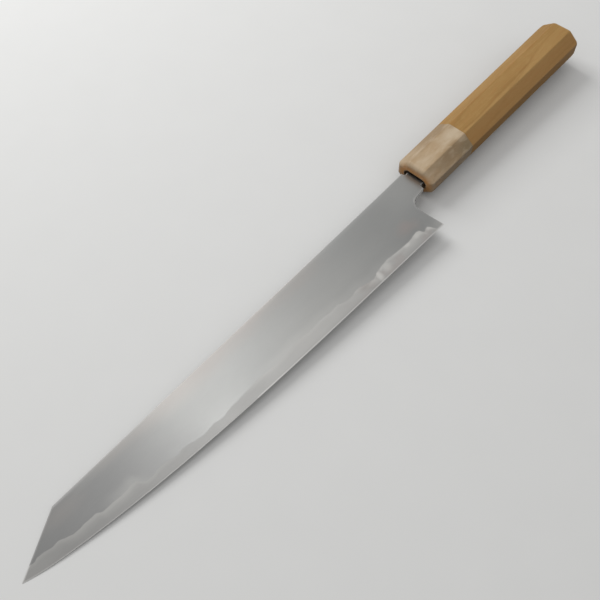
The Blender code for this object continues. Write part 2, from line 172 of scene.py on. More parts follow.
class KNIFE_PG_blade(PropertyGroup):
    """Outline and thickness of the blade and its tang."""

    edge_length: length("Edge", "Heel to tip, along the handle's axis", 0.270)
    neck_length: length("Neck", "Heel to the front of the ferrule", 0.0138)
    heel_drop: length("Heel drop", "The heel below the handle's axis", 0.0317)
    tip_drop: length("Tip drop", "The tip below the handle's axis", 0.0091)
    spine_rise_neck: length("Spine at neck", "The spine above the axis at the neck", 0.0069)
    spine_rise_shoulder: length("Spine at shoulder", "The spine above the axis at the K-tip",
                                0.0076)
    shoulder_setback: length("Shoulder setback", "Tip to the shoulder of the K-tip", 0.0298)
    steady_rise: length("Steady rise", "How far the edge rises evenly", 0.0088)
    belly_rise: length("Belly rise", "How far the edge rises in its belly", 0.0128)
    belly_power: FloatProperty(name="Belly power", description="How late the belly rises",
                               default=3.9, min=1.0)
    upturn_run: length("Upturn run", "Length of the edge's last upturn at the tip", 0.020)
    choil_undercut: length("Choil undercut", "How far the choil goes in ahead of the heel", 0.0022)
    choil_radius: length("Choil radius", "Radius of the choil", 0.0062)
    neck_drop: length("Neck drop", "Lower side of the neck below the axis", 0.0089)
    neck_flare: length("Neck flare", "How far the neck spreads towards the choil", 0.0013)
    step_gap: length("Step gap", "Step of the tang ahead of the ferrule", 0.0024)
    step_lean: length("Step lean", "How far the step leans", 0.0003)
    tang_drop: length("Tang drop", "Lower side of the tang below the axis", 0.0063)
    tang_rise: length("Tang rise", "Upper side of the tang above the axis", 0.0049)
    tang_length: length("Tang", "Length of the tang inside the handle", 0.088)
    tang_end_drop: length("Tang end drop", "Lower side of the tang at its end", 0.0041)
    tang_end_rise: length("Tang end rise", "Upper side of the tang at its end", 0.0031)
    thickness_neck: length("Thickness at neck", "Spine thickness at the neck", 0.0032)
    thickness_heel: length("Thickness at heel", "Spine thickness above the heel", 0.0026)
    thickness_shoulder: length("Thickness at shoulder", "Spine thickness at the K-tip", 0.0012)
    thickness_tang_end: length("Thickness at tang end", "Thickness where the tang ends", 0.0022)
    bevel_height: length("Bevel height", "Height of the flat bevel along the edge", 0.0006)
    bevel_thickness: length("Bevel thickness", "Thickness where the bevel starts", 0.0002)
    core_neck: length("Core at neck", "Thickness of the core at the neck", 0.0011)
    core_tip: length("Core at tip", "Thickness of the core at the tip", 0.0005)
    eased_radius: length("Eased edge", "Radius of the eased spine and choil", 0.00028)
    polish_width: length("Polish width", "Width of the brighter strip along the border", 0.0007)


class KNIFE_PG_handle(PropertyGroup):
    """Sizes of the eight-sided handle and of its ferrule."""

    handle_length: length("Handle", "Ferrule and wood together", 0.1474)
    ferrule_length: length("Ferrule", "Length of the horn ferrule", 0.0379)
    front_height: length("Front height", "Across the flats at the front, edge to spine", 0.0245)
    front_thickness: length("Front thickness", "Across the side flats at the front", 0.0185)
    front_corners: length("Front corners", "Across the corner flats at the front", 0.0212)
    butt_height: length("Butt height", "Across the flats at the butt, edge to spine", 0.0258)
    butt_thickness: length("Butt thickness", "Across the side flats at the butt", 0.0201)
    butt_corners: length("Butt corners", "Across the corner flats at the butt", 0.0228)
    corner_angle: turn("Corner angle", "Turn from the +Y flat to the corner flat", 52.0)
    rim_radius: length("Rim radius", "Radius of the ferrule's front rim", 0.0026)
    butt_radius: length("Butt radius", "Radius of the edges of the butt", 0.0022)
    ridge_radius: length("Ridge radius", "Radius of the eight long edges", 0.0010)
    ridge_radius_butt: length("Ridge radius at butt", "Radius of these edges at the butt",
                              0.0035)
    ridge_easing: length("Ridge easing", "Where these edges start to soften, ahead of the "
                         "butt", 0.006)
    mouth_length: length("Mouth length", "Long side of the mouth", 0.0154)
    mouth_height: length("Mouth height", "Short side of the mouth", 0.0064)
    mouth_offset: length("Mouth offset", "The mouth's middle beside the axis", -0.0005)
    front_wall: length("Front wall", "Depth of the mouth before the bore", 0.0060)
    bore_diameter: length("Bore", "Diameter of the bore for the dowel", 0.0151)
    bore_end: length("Bore end", "Ferrule's front to the end of the bore", 0.0943)
    glue_line: length("Glue line", "Gap between ferrule and wood", 0.00005)


class KNIFE_PG_finish(PropertyGroup):
    """Colours and roughness of steel, horn and wood."""

    cladding: colour("Cladding", "Soft satin cladding", (0.352, 0.354, 0.346))
    cladding_warm: colour("Cladding, warm", "Warmer tint near the spine", (0.366, 0.344, 0.327))
    # Painted shade at the point and over one stretch of the clad line; the darker clouds near the
    # heel are the steel's own
    cladding_dark_and_painted_shade: colour("Cladding, dark", "Darker tone above the clad line and at the point",
                          (0.286, 0.286, 0.283))
    cladding_blush: colour("Cladding, blush", "Faint warm patch over the heel",
                           (0.415, 0.365, 0.345))
    cladding_roughness: share("Cladding roughness", "Roughness of the satin cladding", 0.31)
    core: colour("Core", "Bare core along the edge", (0.385, 0.381, 0.37))
    # A light tone for the core's real clouds and haze, also laid on as painted light and painted
    # highlights
    core_cloud_and_painted_light: colour("Core, cloud", "Bright clouds under the clad line", (0.66, 0.65, 0.62))
    core_dark: colour("Core, dark", "Bare core towards the point", (0.300, 0.297, 0.289))
    core_blush: colour("Core, blush", "Faint warm patches near the heel", (0.445, 0.408, 0.390))
    core_roughness: share("Core roughness", "Roughness of the bare core", 0.38)
    polished: colour("Polished edge", "Eased edges and bevel", (0.74, 0.73, 0.71))
    horn_pale: colour("Horn, pale", "Pale patches of the horn", (0.62, 0.51, 0.37))
    horn_body: colour("Horn, body", "Main tone of the horn", (0.45, 0.322, 0.192))
    horn_brown: colour("Horn, brown", "Brown streaks of the horn", (0.250, 0.163, 0.080))
    horn_grey: colour("Horn, grey", "Grey veil near the wood", (0.245, 0.187, 0.105))
    # Painted shade: darker, browner side flats
    horn_painted_side_shade: colour("Horn, dark", "Brown sides of the horn", (0.20, 0.125, 0.055))
    # Painted shade: the dark wall inside the mouth
    horn_painted_mouth_shade: colour("Horn, inside", "Scorched wall of the mouth", (0.13, 0.100, 0.070))
    # Warm horn colour, partly painted glow for light through the translucent horn
    horn_amber_and_painted_glow: colour("Horn, amber", "Warm rim of the horn", (0.58, 0.265, 0.075))
    wood_light: colour("Wood, light", "Light streaks of the wood", (0.43, 0.262, 0.098))
    wood_body: colour("Wood, body", "Main tone of the wood", (0.355, 0.205, 0.066))
    wood_dark: colour("Wood, dark", "Dark streaks of the wood", (0.255, 0.136, 0.040))
    wood_red: colour("Wood, red", "Redder tone of the corner flats", (0.40, 0.185, 0.062))
    # Painted highlight on the edge-side ridge, and real wear on the butt's rim
    wood_worn_and_painted_highlight: colour("Wood, worn", "Worn ridges and rim of the wood", (0.60, 0.40, 0.20))
    # Darker than real wood: partly painted shade for the deep slot in which the dowel is seen
    dowel: colour("Dowel", "Plain wood of the dowel", (0.20, 0.14, 0.08))


class KNIFE_PG_stage(PropertyGroup):
    """Floor, lamps, world and camera."""

    camera_place: FloatVectorProperty(name="Camera place", description="Where the camera stands",
                                      size=3, subtype="TRANSLATION", unit="LENGTH",
                                      default=(-0.165582, -0.127921, 0.330890))
    camera_turn: FloatVectorProperty(name="Camera turn", description="How the camera is turned",
                                     size=3, subtype="EULER",
                                     default=[math.radians(a) for a in (30.0433, 1.2579,
                                                                        -47.2774)])
    camera_lens: FloatProperty(name="Lens", description="Focal length on a 36 mm sensor",
                               default=43.32, subtype="DISTANCE_CAMERA")
    floor_colour: colour("Floor", "Plain pale floor", (0.72, 0.72, 0.71))
    floor_bounce: colour("Floor's bounce", "How much light the floor throws back at the knife",
                         (0.03, 0.03, 0.03))
    world_strength: FloatProperty(name="World", description="Strength of the even white world",
                                  default=0.56, min=0.0)
    key_power: FloatProperty(name="Key lamp", description="Power of the lamp beyond the spine",
                             default=5.2, subtype="POWER", unit="POWER")
    sheen_power: FloatProperty(name="Overhead lamp", description="Power of the lamp that the "
                               "blade mirrors", default=0.87, subtype="POWER", unit="POWER")


def smooth(value, start, end):
    """A soft step from 0 at start to 1 at end."""
    t = np.clip((value - start) / (end - start), 0.0, 1.0)
    return t * t * (3.0 - 2.0 * t)


def mix(a, b, t):
    """Straight blend from a at t = 0 to b at t = 1."""
    return a + (b - a) * t


def inner(count):
    """Evenly spread shares between 0 and 1, without these two."""
    return np.linspace(0.0, 1.0, count + 2)[1:-1]


def at_stations(x, section):
    """Points of sections with their stations put before them."""
    stations = np.broadcast_to(x[:, None, None], section.shape[:2] + (1,))
    return np.concatenate([stations, section], axis=2)


def fillet(start, corner, end, radius, count):
    """Points along a rounded corner: an arc that touches both of the corner's lines."""
    before = (start - corner) / np.linalg.norm(start - corner)
    after = (end - corner) / np.linalg.norm(end - corner)
    half_turn = 0.5 * math.acos(float(before @ after))
    middle = (before + after) / np.linalg.norm(before + after)
    centre = corner + middle * (radius / math.sin(half_turn))
    first = corner + before * (radius / math.tan(half_turn)) - centre
    last = corner + after * (radius / math.tan(half_turn)) - centre
    swing = math.pi - 2.0 * half_turn
    t = np.linspace(0.0, 1.0, count)[:, None]
    arc = np.sin((1.0 - t) * swing) * first + np.sin(t * swing) * last
    return centre + arc / math.sin(swing)


class BladeForm:
    """Profile, clad line and thickness of the blade, as functions of the place in its plan."""

    def __init__(self, sizes):
        self.s = sizes
        self.heel_x = -sizes.neck_length
        self.tip_x = self.heel_x - sizes.edge_length
        self.shoulder_x = self.tip_x + sizes.shoulder_setback
        self.step_x = -sizes.step_gap
        self.neck_x = self.step_x - sizes.step_lean
        self.height = sizes.heel_drop + sizes.spine_rise_neck

    def edge_y(self, x):
        """Cutting edge: a steady rise, a belly that grows with a power, and an upturn."""
        s = self.s
        run = np.clip((self.heel_x - x) / s.edge_length, 0.0, None)
        upturn = s.heel_drop - s.tip_drop - s.steady_rise - s.belly_rise
        near_tip = np.clip(1.0 - (x - self.tip_x) / s.upturn_run, 0.0, None)
        rise = s.steady_rise * run + s.belly_rise * run ** s.belly_power
        return -s.heel_drop + rise + upturn * near_tip ** 2

    def spine_y(self, x):
        """Spine: a straight line from the step at the neck to the shoulder of the K-tip."""
        along = (self.step_x - x) / (self.step_x - self.shoulder_x)
        return mix(self.s.spine_rise_neck, self.s.spine_rise_shoulder, along)

    def line_height(self, x):
        """Height of the clad line over the edge: soft steps from each of its points to the next."""
        run, height = np.array(CLAD_LINE).T * MILLIMETRE
        at = self.heel_x - np.asarray(x)
        left = np.clip(np.searchsorted(run, at) - 1, 0, len(run) - 2)
        return mix(height[left], height[left + 1], smooth(at, run[left], run[left + 1]))

    def spine_half(self, x):
        """Half thickness at the spine: an even distal taper that swells into the neck, and thins
        evenly again along the tang.
        """
        s = self.s
        along = np.clip((self.heel_x - x) / (self.heel_x - self.shoulder_x), 0.0, None)
        blade = mix(s.thickness_heel, s.thickness_shoulder, along)
        swell = (s.thickness_neck - s.thickness_heel) * smooth(
            x, SWELL_START * self.heel_x, self.step_x)
        inside = (x - self.step_x) / (s.tang_length - self.step_x)
        tang = (s.thickness_neck - s.thickness_tang_end) * np.clip(inside, 0.0, None)
        return 0.5 * (blade + swell - tang)

    def core_half(self, x):
        """Half thickness of the core, which thins evenly from the neck to the tip."""
        along = np.clip((self.step_x - x) / (self.step_x - self.tip_x), 0.0, None)
        return 0.5 * mix(self.s.core_neck, self.s.core_tip, along)

    def face_half(self, x, y):
        """Half thickness at a point: a flat bevel, then a convex grind that rises with a power up
        to the spine, and flat sides where the blade turns into the neck.
        """
        s = self.s
        height = y - self.edge_y(x)
        total = self.spine_y(x) - self.edge_y(x)
        full = self.spine_half(x)
        shoulder = 0.5 * s.bevel_thickness
        climb = np.clip((height - s.bevel_height) / (total - s.bevel_height), 0.0, 1.0)
        grind = mix(shoulder, full, 1.0 - (1.0 - climb) ** GRIND_POWER)
        ground = np.where(height < s.bevel_height, shoulder * height / s.bevel_height, grind)
        neck = smooth(x, FLAT_NECK_START * self.heel_x, FLAT_NECK_END * self.heel_x)
        upper = smooth(height / self.height, FLAT_NECK_LOW, FLAT_NECK_HIGH)
        return mix(ground, full, neck * upper)

    def joint_half(self, x, y):
        """Half thickness of the joint: it leaves the face at the clad line and nears the core's
        half thickness above it, by an exponential of the distance.
        """
        line_y = self.edge_y(x) + self.line_height(x)
        rise = 1.0 - np.exp(-np.clip(y - line_y, 0.0, None) / JOINT_RUN)
        return mix(self.face_half(x, line_y), self.core_half(x), rise)

    def columns(self):
        """Shares of the edge from tip to heel, closer together towards the heel and both ends."""
        back = np.linspace(1.0, 0.0, BLADE_COLUMNS)
        main = 1.0 - mix(back ** 2, back, COLUMN_PACKING)
        tip = np.array(TIP_OFFSETS) / self.s.edge_length
        heel = 1.0 - np.array(HEEL_OFFSETS) / self.s.edge_length
        return np.unique(np.concatenate([main, tip, heel]))

    def lower_border(self, shares):
        """Lower border of the clad steel: clad line, climb to the choil, choil, neck, step and
        tang. Beside it the choil's own points.
        """
        s = self.s
        slope = np.linspace(0.0, 1.0, SLOPE_STEPS)
        slope_x = mix(self.tip_x, self.shoulder_x, slope)
        slope_y = mix(-s.tip_drop, s.spine_rise_shoulder, slope)
        above = slope_y - self.edge_y(slope_x) - self.line_height(slope_x)
        line_start = np.interp(0.0, above, slope_x)

        heel = np.array([self.heel_x, -s.heel_drop])
        corner = np.array([self.heel_x - s.choil_undercut, -s.neck_drop - s.neck_flare])
        neck_end = np.array([self.neck_x, -s.neck_drop])
        up = corner - heel
        line_end = heel + up * (self.line_height(self.heel_x) / up[1])
        line_x = mix(line_start, line_end[0], shares)
        line = np.stack([line_x, self.edge_y(line_x) + self.line_height(line_x)], axis=1)
        line[-1] = line_end

        choil = fillet(line_end, corner, neck_end, s.choil_radius, CHOIL_POINTS)
        climb = mix(line_end, choil[0], inner(CLIMB_POINTS)[:, None])
        close = 1.0 - np.linspace(1.0, 0.0, NECK_POINTS + 1)[1:, None] ** 2
        neck = mix(choil[-1], neck_end, close)
        tang_start = np.array([self.step_x, -s.tang_drop])
        tang_end = np.array([s.tang_length, -s.tang_end_drop])
        tang = mix(tang_start, tang_end, np.linspace(0.0, 1.0, TANG_POINTS)[:, None] ** 2)
        return np.concatenate([line, climb, choil, neck, tang]), choil

    def upper_border(self, lower, line_count):
        """Upper border: one point for each lower one, fanned at the tip and spread at the choil."""
        s = self.s
        across = lower[:, 0].copy()
        tip_share = np.clip((across - across[0]) / (FAN_SHARE * s.edge_length), 0.0, 1.0)
        fan = (self.shoulder_x - across[0]) * (1.0 - tip_share) ** 2
        fan[line_count:] = 0.0
        across += fan
        step = len(lower) - TANG_POINTS - 1
        first = int(np.searchsorted(lower[:line_count, 0] - self.heel_x, -SPREAD_START))
        walked = np.cumsum(np.linalg.norm(np.diff(lower[first:step + 1], axis=0), axis=1))
        across[first + 1:step + 1] = mix(across[first], self.neck_x, walked / walked[-1])
        heights = self.spine_y(across)
        along = (across[step + 1:] - self.step_x) / (s.tang_length - self.step_x)
        heights[step + 1:] = mix(s.tang_rise, s.tang_end_rise, along)
        return np.stack([across, heights], axis=1)

    def border_distance(self, points, choil):
        """Distance of each point to the steel's outline, apart from the cutting edge."""
        s = self.s
        neck_top = [self.neck_x, float(self.spine_y(self.neck_x))]
        outline = np.array([
            [self.tip_x, -s.tip_drop], [self.shoulder_x, s.spine_rise_shoulder], neck_top,
            [self.step_x, s.tang_rise], [s.tang_length, s.tang_end_rise],
            [s.tang_length, -s.tang_end_drop], [self.step_x, -s.tang_drop],
            [self.neck_x, -s.neck_drop], *choil[::-1], [self.heel_x, -s.heel_drop]])
        start, run = outline[:-1], np.diff(outline, axis=0)
        to_point = points[:, None, :] - start[None]
        along = np.einsum("psk,sk->ps", to_point, run) / np.einsum("sk,sk->s", run, run)
        nearest = to_point - np.clip(along, 0.0, 1.0)[:, :, None] * run
        return np.linalg.norm(nearest, axis=2).min(axis=1)


class BladeGrid:
    """The blade's plan as two grids that share the clad line, with the heights over them.

    The upper grid runs from the clad line, choil, neck and tang up to the spine. The lower grid
    runs from the cutting edge up to the clad line. Both are numbered in one list of points.
    """

    def __init__(self, form):
        s = form.s
        shares = form.columns()
        lower, choil = form.lower_border(shares)
        upper = form.upper_border(lower, len(shares))
        reach = np.linalg.norm(upper - lower, axis=1)
        near = np.array([0.0, *BORDER_OFFSETS])[:, None] / reach
        middle = mix(near[-1:], 1.0 - near[-1:], inner(INNER_ROWS)[:, None])
        rows = np.concatenate([near, middle, 1.0 - near[::-1]])
        clad = mix(lower[None], upper[None], rows[:, :, None])

        edge_x = mix(form.tip_x, form.heel_x, shares)
        edge = np.stack([edge_x, form.edge_y(edge_x)], axis=1)
        line = lower[:len(shares)]
        bevel = np.array(BEVEL_ROWS)[:, None] * s.bevel_height / (line[:, 1] - edge[:, 1])
        above = mix(bevel[-1:], 1.0, inner(BAND_ROWS)[:, None])
        band = mix(edge[None], line[None], np.concatenate([bevel, above])[:, :, None])

        self.line_count = len(shares)
        self.clad = numbered(clad, 0)
        self.band = np.concatenate([numbered(band, self.clad.size),
                                    self.clad[:1, :self.line_count]])
        self.plan = np.concatenate([clad.reshape(-1, 2), band.reshape(-1, 2)])
        self.line = self.clad[0, :self.line_count]
        self.edge = self.band[0]
        self.lift(form, choil)

    def lift(self, form, choil):
        """Half thickness of face and joint over the plan, with round eased borders, and what the
        finishes read: the polish of the eased edges and the bevel, and the place on the blade.
        """
        s = form.s
        x, y = self.plan.T
        face = form.face_half(x, y)
        distance = form.border_distance(self.plan, choil)
        radius = np.minimum(s.eased_radius, EASED_SHARE * face)
        inside = np.clip(radius - distance, 0.0, None)
        self.outer = face - (radius - np.sqrt(np.clip(radius ** 2 - inside ** 2, 0.0, None)))
        self.joint = np.minimum(form.joint_half(x, y), self.outer - JOINT_GAP)
        self.joint[self.clad.size:] = self.outer[self.clad.size:]
        self.joint[self.line] = self.outer[self.line]
        low = form.edge_y(x)
        eased = 1.0 - smooth(distance, s.eased_radius, s.polish_width)
        self.polish = np.maximum(eased, y - low < s.bevel_height)
        self.place = np.stack([form.heel_x - x, y - low - form.line_height(x),
                               (y - low) / (form.spine_y(x) - low)], axis=1)


def numbered(grid, first):
    """Numbers of the points of a grid, row by row from the first one."""
    return first + np.arange(grid.shape[0] * grid.shape[1]).reshape(grid.shape[:2])


def quads_of(index):
    """Four corners of each cell of a grid of point numbers, turned to face +Z."""
    return np.stack([index[:-1, :-1], index[:-1, 1:], index[1:, 1:], index[1:, :-1]],
                    axis=-1).reshape(-1, 4)


def walls(top_loop, bottom_loop):
    """Upright cells between two borders that run round a plate counterclockwise."""
    return np.stack([top_loop[:-1], bottom_loop[:-1], bottom_loop[1:], top_loop[1:]], axis=1)


def mesh_of(name, points, quads, attributes, crease):
    """Mesh from cells of four corners. A cell with a doubled corner becomes a triangle, and the
    shading breaks along the edges that join points of the crease.
    """
    same = quads == np.roll(quads, -1, axis=1)
    whole = quads[~same.any(axis=1)]
    slim = quads[same.sum(axis=1) == 1]
    triangles = slim[~(slim == np.roll(slim, -1, axis=1))].reshape(-1, 3)
    used, corners = np.unique(np.concatenate([whole.ravel(), triangles.ravel()]),
                              return_inverse=True)
    corner_counts = np.concatenate([np.full(len(whole), 4), np.full(len(triangles), 3)])
    mesh = bpy.data.meshes.new(name)
    mesh.vertices.add(len(used))
    mesh.vertices.foreach_set("co", points[used].astype(np.float32).ravel())
    mesh.loops.add(len(corners))
    mesh.loops.foreach_set("vertex_index", corners.ravel().astype(np.int32))
    mesh.polygons.add(len(corner_counts))
    starts = (np.cumsum(corner_counts) - corner_counts).astype(np.int32)
    mesh.polygons.foreach_set("loop_start", starts)
    mesh.update(calc_edges=True)
    mesh.validate()
    for key, values in attributes.items():
        kind, field = ("FLOAT", "value") if values.ndim == 1 else ("FLOAT_VECTOR", "vector")
        layer = mesh.attributes.new(key, kind, "POINT")
        layer.data.foreach_set(field, values[used].astype(np.float32).ravel())
    mesh.shade_smooth()
    mesh.set_sharp_from_angle(angle=SHARP_ANGLE)
    ends = np.empty(2 * len(mesh.edges), dtype=np.int32)
    mesh.edges.foreach_get("vertices", ends)
    split = np.isin(used[ends.reshape(-1, 2)], crease).all(axis=1)
    sharp = np.empty(len(mesh.edges), dtype=bool)
    mesh.attributes["sharp_edge"].data.foreach_get("value", sharp)
    mesh.attributes["sharp_edge"].data.foreach_set("value", sharp | split)
    return mesh


def resting(points):
    """Points of the knife's own axes, moved to where the knife lies in the frame."""
    x, y, z = points.T
    cosine, sine = math.cos(REST_LEAN), math.sin(REST_LEAN)
    turned = np.stack([x * cosine - z * sine, y, x * sine + z * cosine], axis=1)
    return turned + np.array(REST_PLACE)


def add_piece(name, points, quads, attributes, material, node, crease=()):
    """One piece, which stands for a CAD node, fills its box and rides on the knife's one body."""
    attributes["knife_place"] = points
    mesh = mesh_of(name, resting(points), quads, attributes, crease)
    mesh.materials.append(material)
    piece = bpy.data.objects.new(name, mesh)
    bpy.context.scene.collection.objects.link(piece)
    low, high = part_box(node)
    corners = np.array([corner[:] for corner in piece.bound_box])
    apart = np.abs(np.array([corners.min(axis=0) - low, corners.max(axis=0) - high])).max()
    if apart > PLACE_TOLERANCE:
        raise RuntimeError(f"{name} is {apart / MILLIMETRE:.2f} mm away from the box of {node}")
    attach(piece, "root")
    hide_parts(node)


def steel_piece(name, grid, core, side, material, node):
    """One layer of the blade: the core between its two joints, or one side's cladding over it.
    The right side is the left one mirrored.
    """
    count = len(grid.plan)
    upper = grid.joint if core else grid.outer + WELD_GAP
    lower = -grid.joint if core else grid.joint + WELD_GAP
    points = np.concatenate([np.column_stack([grid.plan, upper]),
                             np.column_stack([grid.plan, lower])])
    bottom = np.arange(count) + count
    closed = grid.edge if core else grid.line
    bottom[closed] = closed
    faces = quads_of(grid.clad)
    loop = np.concatenate([grid.clad[0, grid.line_count - 1:], grid.clad[1:, -1],
                           grid.clad[-1, -2::-1], grid.clad[-2::-1, 0]])
    if core:
        faces = np.concatenate([faces, quads_of(grid.band)])
        loop = np.concatenate([grid.band[:-1, -1], loop, grid.band[-2::-1, 0]])
    quads = np.concatenate([faces, bottom[faces][:, ::-1], walls(loop, bottom[loop])])
    if side < 0:
        points[:, 2] *= -1.0
        quads = quads[:, ::-1]
    attributes = {"blade_place": np.concatenate([grid.place, grid.place]),
                  "edge_polish": np.concatenate([grid.polish, grid.polish])}
    crease = np.concatenate([grid.line, grid.line + count])
    add_piece(name, points, quads, attributes, material, node, crease)


class HandleForm:
    """Sections of the handle and the openings in it, as closed loops of matching points."""

    def __init__(self, sizes):
        self.s = sizes
        flats = [0.0, sizes.corner_angle, 0.5 * math.pi, math.pi - sizes.corner_angle]
        self.turns = np.array(flats + [turn + math.pi for turn in flats])
        self.after = np.append(self.turns[1:], 2.0 * math.pi)
        front = self.outline(np.array([0.0]), np.array([sizes.rim_radius]))[0]
        self.directions = front[:, 1:] / np.linalg.norm(front[:, 1:], axis=1)[:, None]

    def corners(self, x, inset):
        """Where the flats meet at each station, drawn in from every flat by the inset."""
        s = self.s
        half_y, half_z, corner = (
            0.5 * mix(front, butt, x / s.handle_length) - inset
            for front, butt in ((s.front_height, s.butt_height),
                                (s.front_thickness, s.butt_thickness),
                                (s.front_corners, s.butt_corners)))
        sine, cosine = math.sin(s.corner_angle), math.cos(s.corner_angle)
        near_y = (corner - sine * half_z) / cosine
        near_z = (corner - cosine * half_y) / sine
        quarter = [(half_y, near_z), (near_y, half_z)]
        half = quarter + [(-y, z) for y, z in quarter[::-1]]
        full = half + [(-y, -z) for y, z in half]
        return np.array([[y, z] for y, z in full]).transpose(2, 0, 1)

    def ridge_heights(self):
        """Height of the ridges beside the side flats, at the front end and at the butt."""
        ends = self.corners(np.array([0.0, self.s.handle_length]), np.zeros(2))
        return ends[0, 0, 1], ends[1, 0, 1]

    def outline(self, x, inset):
        """Closed sections: eight arcs round the corners of the section drawn in by the ridge
        radius, with points on the flats between them that lie closer together near the arcs.
        """
        s = self.s
        easing = smooth(x, s.handle_length - s.ridge_easing, s.handle_length)
        radius = mix(s.ridge_radius, s.ridge_radius_butt, easing)
        centres = self.corners(x, inset + radius)[:, :, None, :]
        t = np.linspace(0.0, 1.0, CORNER_POINTS)
        angle = mix(self.turns[:, None], self.after[:, None], t)
        turned = np.stack([np.cos(angle), np.sin(angle)], axis=-1)[None]
        arcs = centres + radius[:, None, None, None] * turned
        ends, starts = arcs[:, :, -1:], np.roll(arcs, -1, axis=1)[:, :, :1]
        spread = 0.5 - 0.5 * np.cos(math.pi * inner(FLAT_POINTS))
        flats = mix(ends, starts, spread[None, None, :, None])
        return at_stations(x, np.concatenate([arcs, flats], axis=2).reshape(len(x), -1, 2))

    def opening(self, x, radius, reach, offset):
        """Closed loops of a round bore, or of a mouth with two straight sides and round ends.

        Each point lies where the ray from the axis in the section's own direction meets the
        opening: on a straight side where that is nearer, otherwise on the arc of the end.
        """
        dy, dz = self.directions.T
        centre = np.sign(dy) * reach
        along = dy * centre
        across = np.clip(radius ** 2 - centre ** 2 + along ** 2, 0.0, None)
        on_end = along + np.sqrt(across)
        on_side = radius / np.maximum(np.abs(dz), LEAST_RISE)
        distance = np.where(np.abs(on_side * dy) < reach, on_side, on_end)
        loop = np.stack([distance * dy + offset, distance * dz], axis=1)
        return at_stations(x, np.broadcast_to(loop, (len(x),) + loop.shape))

    def rim(self, radius):
        """Setback and inset of each step round a quarter-round rim, from end face to side."""
        angle = np.linspace(0.0, 0.5 * math.pi, RIM_POINTS)
        return radius * (1.0 - np.cos(angle)), radius * (1.0 - np.sin(angle))

    def mouth(self, x):
        """The mouth of the ferrule at each station."""
        s = self.s
        radius = 0.5 * s.mouth_height
        return self.opening(x, radius, 0.5 * s.mouth_length - radius, s.mouth_offset)

    def bore(self, x):
        """The bore for the dowel at each station."""
        return self.opening(x, 0.5 * self.s.bore_diameter, 0.0, 0.0)


def loops_to_mesh(loops, closed):
    """Points and cells of loops joined one to the next, and back to the first if closed."""
    count, around = loops.shape[:2]
    index = np.arange(count * around).reshape(count, around)
    index = np.concatenate([index, index[:, :1]], axis=1)
    if closed:
        index = np.concatenate([index, index[:1]])
    return loops.reshape(-1, 3), quads_of(index)


def blend_loops(first, last, count):
    """Loops spread evenly between two loops, without these two."""
    return mix(first[None], last[None], inner(count)[:, None, None])


# Noise of each finish: features per metre along the knife and across it, then its detail,
# roughness and distortion
SATIN_CLOUDS = (14.0, 60.0, 4.0, 0.55, 0.0)
CORE_CLOUDS = (75.0, 120.0, 3.0, 0.5, 0.4)
SCRATCHES = (160.0, 5200.0, 2.0, 0.5, 0.0)
HORN_CLOUDS = (55.0, 150.0, 4.0, 0.55, 0.6)
HORN_FIBRES = (90.0, 1500.0, 3.0, 0.6, 0.0)
HORN_FLECKS = (150.0, 380.0, 3.0, 0.55, 0.0)
RING_WAVES = (16.0, 90.0, 3.0, 0.5, 0.0)
WOOD_STREAKS = (12.0, 620.0, 2.0, 0.6, 0.0)
WOOD_MOTTLE = (30.0, 260.0, 4.0, 0.55, 0.5)
WOOD_FLECKS = (140.0, 640.0, 3.0, 0.6, 0.0)
WOOD_FIBRES = (110.0, 2400.0, 3.0, 0.6, 0.0)
WOOD_PORES = (330.0, 3600.0, 1.0, 0.5, 0.0)
DOWEL_FIBRES = (60.0, 1500.0, 3.0, 0.6, 0.0)
FLOOR_MOTTLE = (40.0, 40.0, 4.0, 0.5, 0.0)

# Patches of the blade. Each has its centre as the run from the heel and the distance over the clad
# line in metres, with the share of the blade's height, then its reach along each, and its strength
# Painted highlight: a pale patch near the spine towards the point, where the lamp's reflection
# falls
PAINTED_SPINE_HIGHLIGHT = ((0.170, 0.022, 0.95), (0.026, 0.030, 0.40), 0.12)
WARM_POINT = ((0.240, 0.018, 0.75), (0.020, 0.030, 0.30), 0.40)
# Painted highlight: the corner of the heel, where its edge catches the light
PAINTED_HEEL_HIGHLIGHT = ((-0.001, 0.0, 0.0), (0.011, 0.009, 0.7), 0.35)
HEEL_BLUSH = ((0.015, 0.006, 0.40), (0.011, 0.007, 0.35), 0.60)
LIGHT_EDGE = ((0.092, -0.003, 0.14), (0.028, 0.012, 0.5), 0.09)
DULL_EDGE = ((0.142, -0.004, 0.06), (0.022, 0.012, 0.5), 0.40)
WARM_EDGE = ((0.0565, -0.0015, 0.12), (0.0095, 0.0045, 0.9), 0.80)
HEEL_CLOUDS = (((0.0150, -0.0010, 0.18), (0.0060, 0.0030, 0.9), 0.85),
               ((0.0238, -0.0006, 0.15), (0.0046, 0.0022, 0.9), 0.85),
               ((0.0415, -0.0022, 0.15), (0.0042, 0.0048, 0.9), 0.55),
               ((0.0483, -0.0018, 0.12), (0.0029, 0.0052, 0.9), 0.85),
               ((0.0075, -0.0008, 0.12), (0.0030, 0.0022, 0.9), 0.85))

# Patches of the horn, which have their centres and reaches in the knife's own axes, and how far
# the horn's clouds bend these patches
BROWN_STREAK = ((0.031, -0.0060, 0.0075), (0.025, 0.0062, 0.012), 0.62)
GREY_VEIL = ((0.042, -0.0085, 0.005), (0.013, 0.0060, 0.012), 0.85)
CREAM_PATCH = ((0.0385, 0.0022, 0.010), (0.016, 0.0068, 0.012), 0.80)
FRONT_GLOW = ((0.0125, 0.0012, 0.0085), (0.012, 0.0060, 0.012), 0.40)
HORN_BEND = (0.012, 0.005, 0.0)

# Rings of the wood: how far their axis lies beside the knife's own and below it, their spacing
# and how far they are bent, and the streak of the upper flat beside the axis, with its rise
RING_AXIS = (0.031, 0.017)
RING_SPACING = 0.0058
RING_BEND = 0.006
STREAK_OFFSET = 0.0030
STREAK_RISE = 0.0058

# Share of a spot's reach within which it is full
SPOT_HEART = 0.15


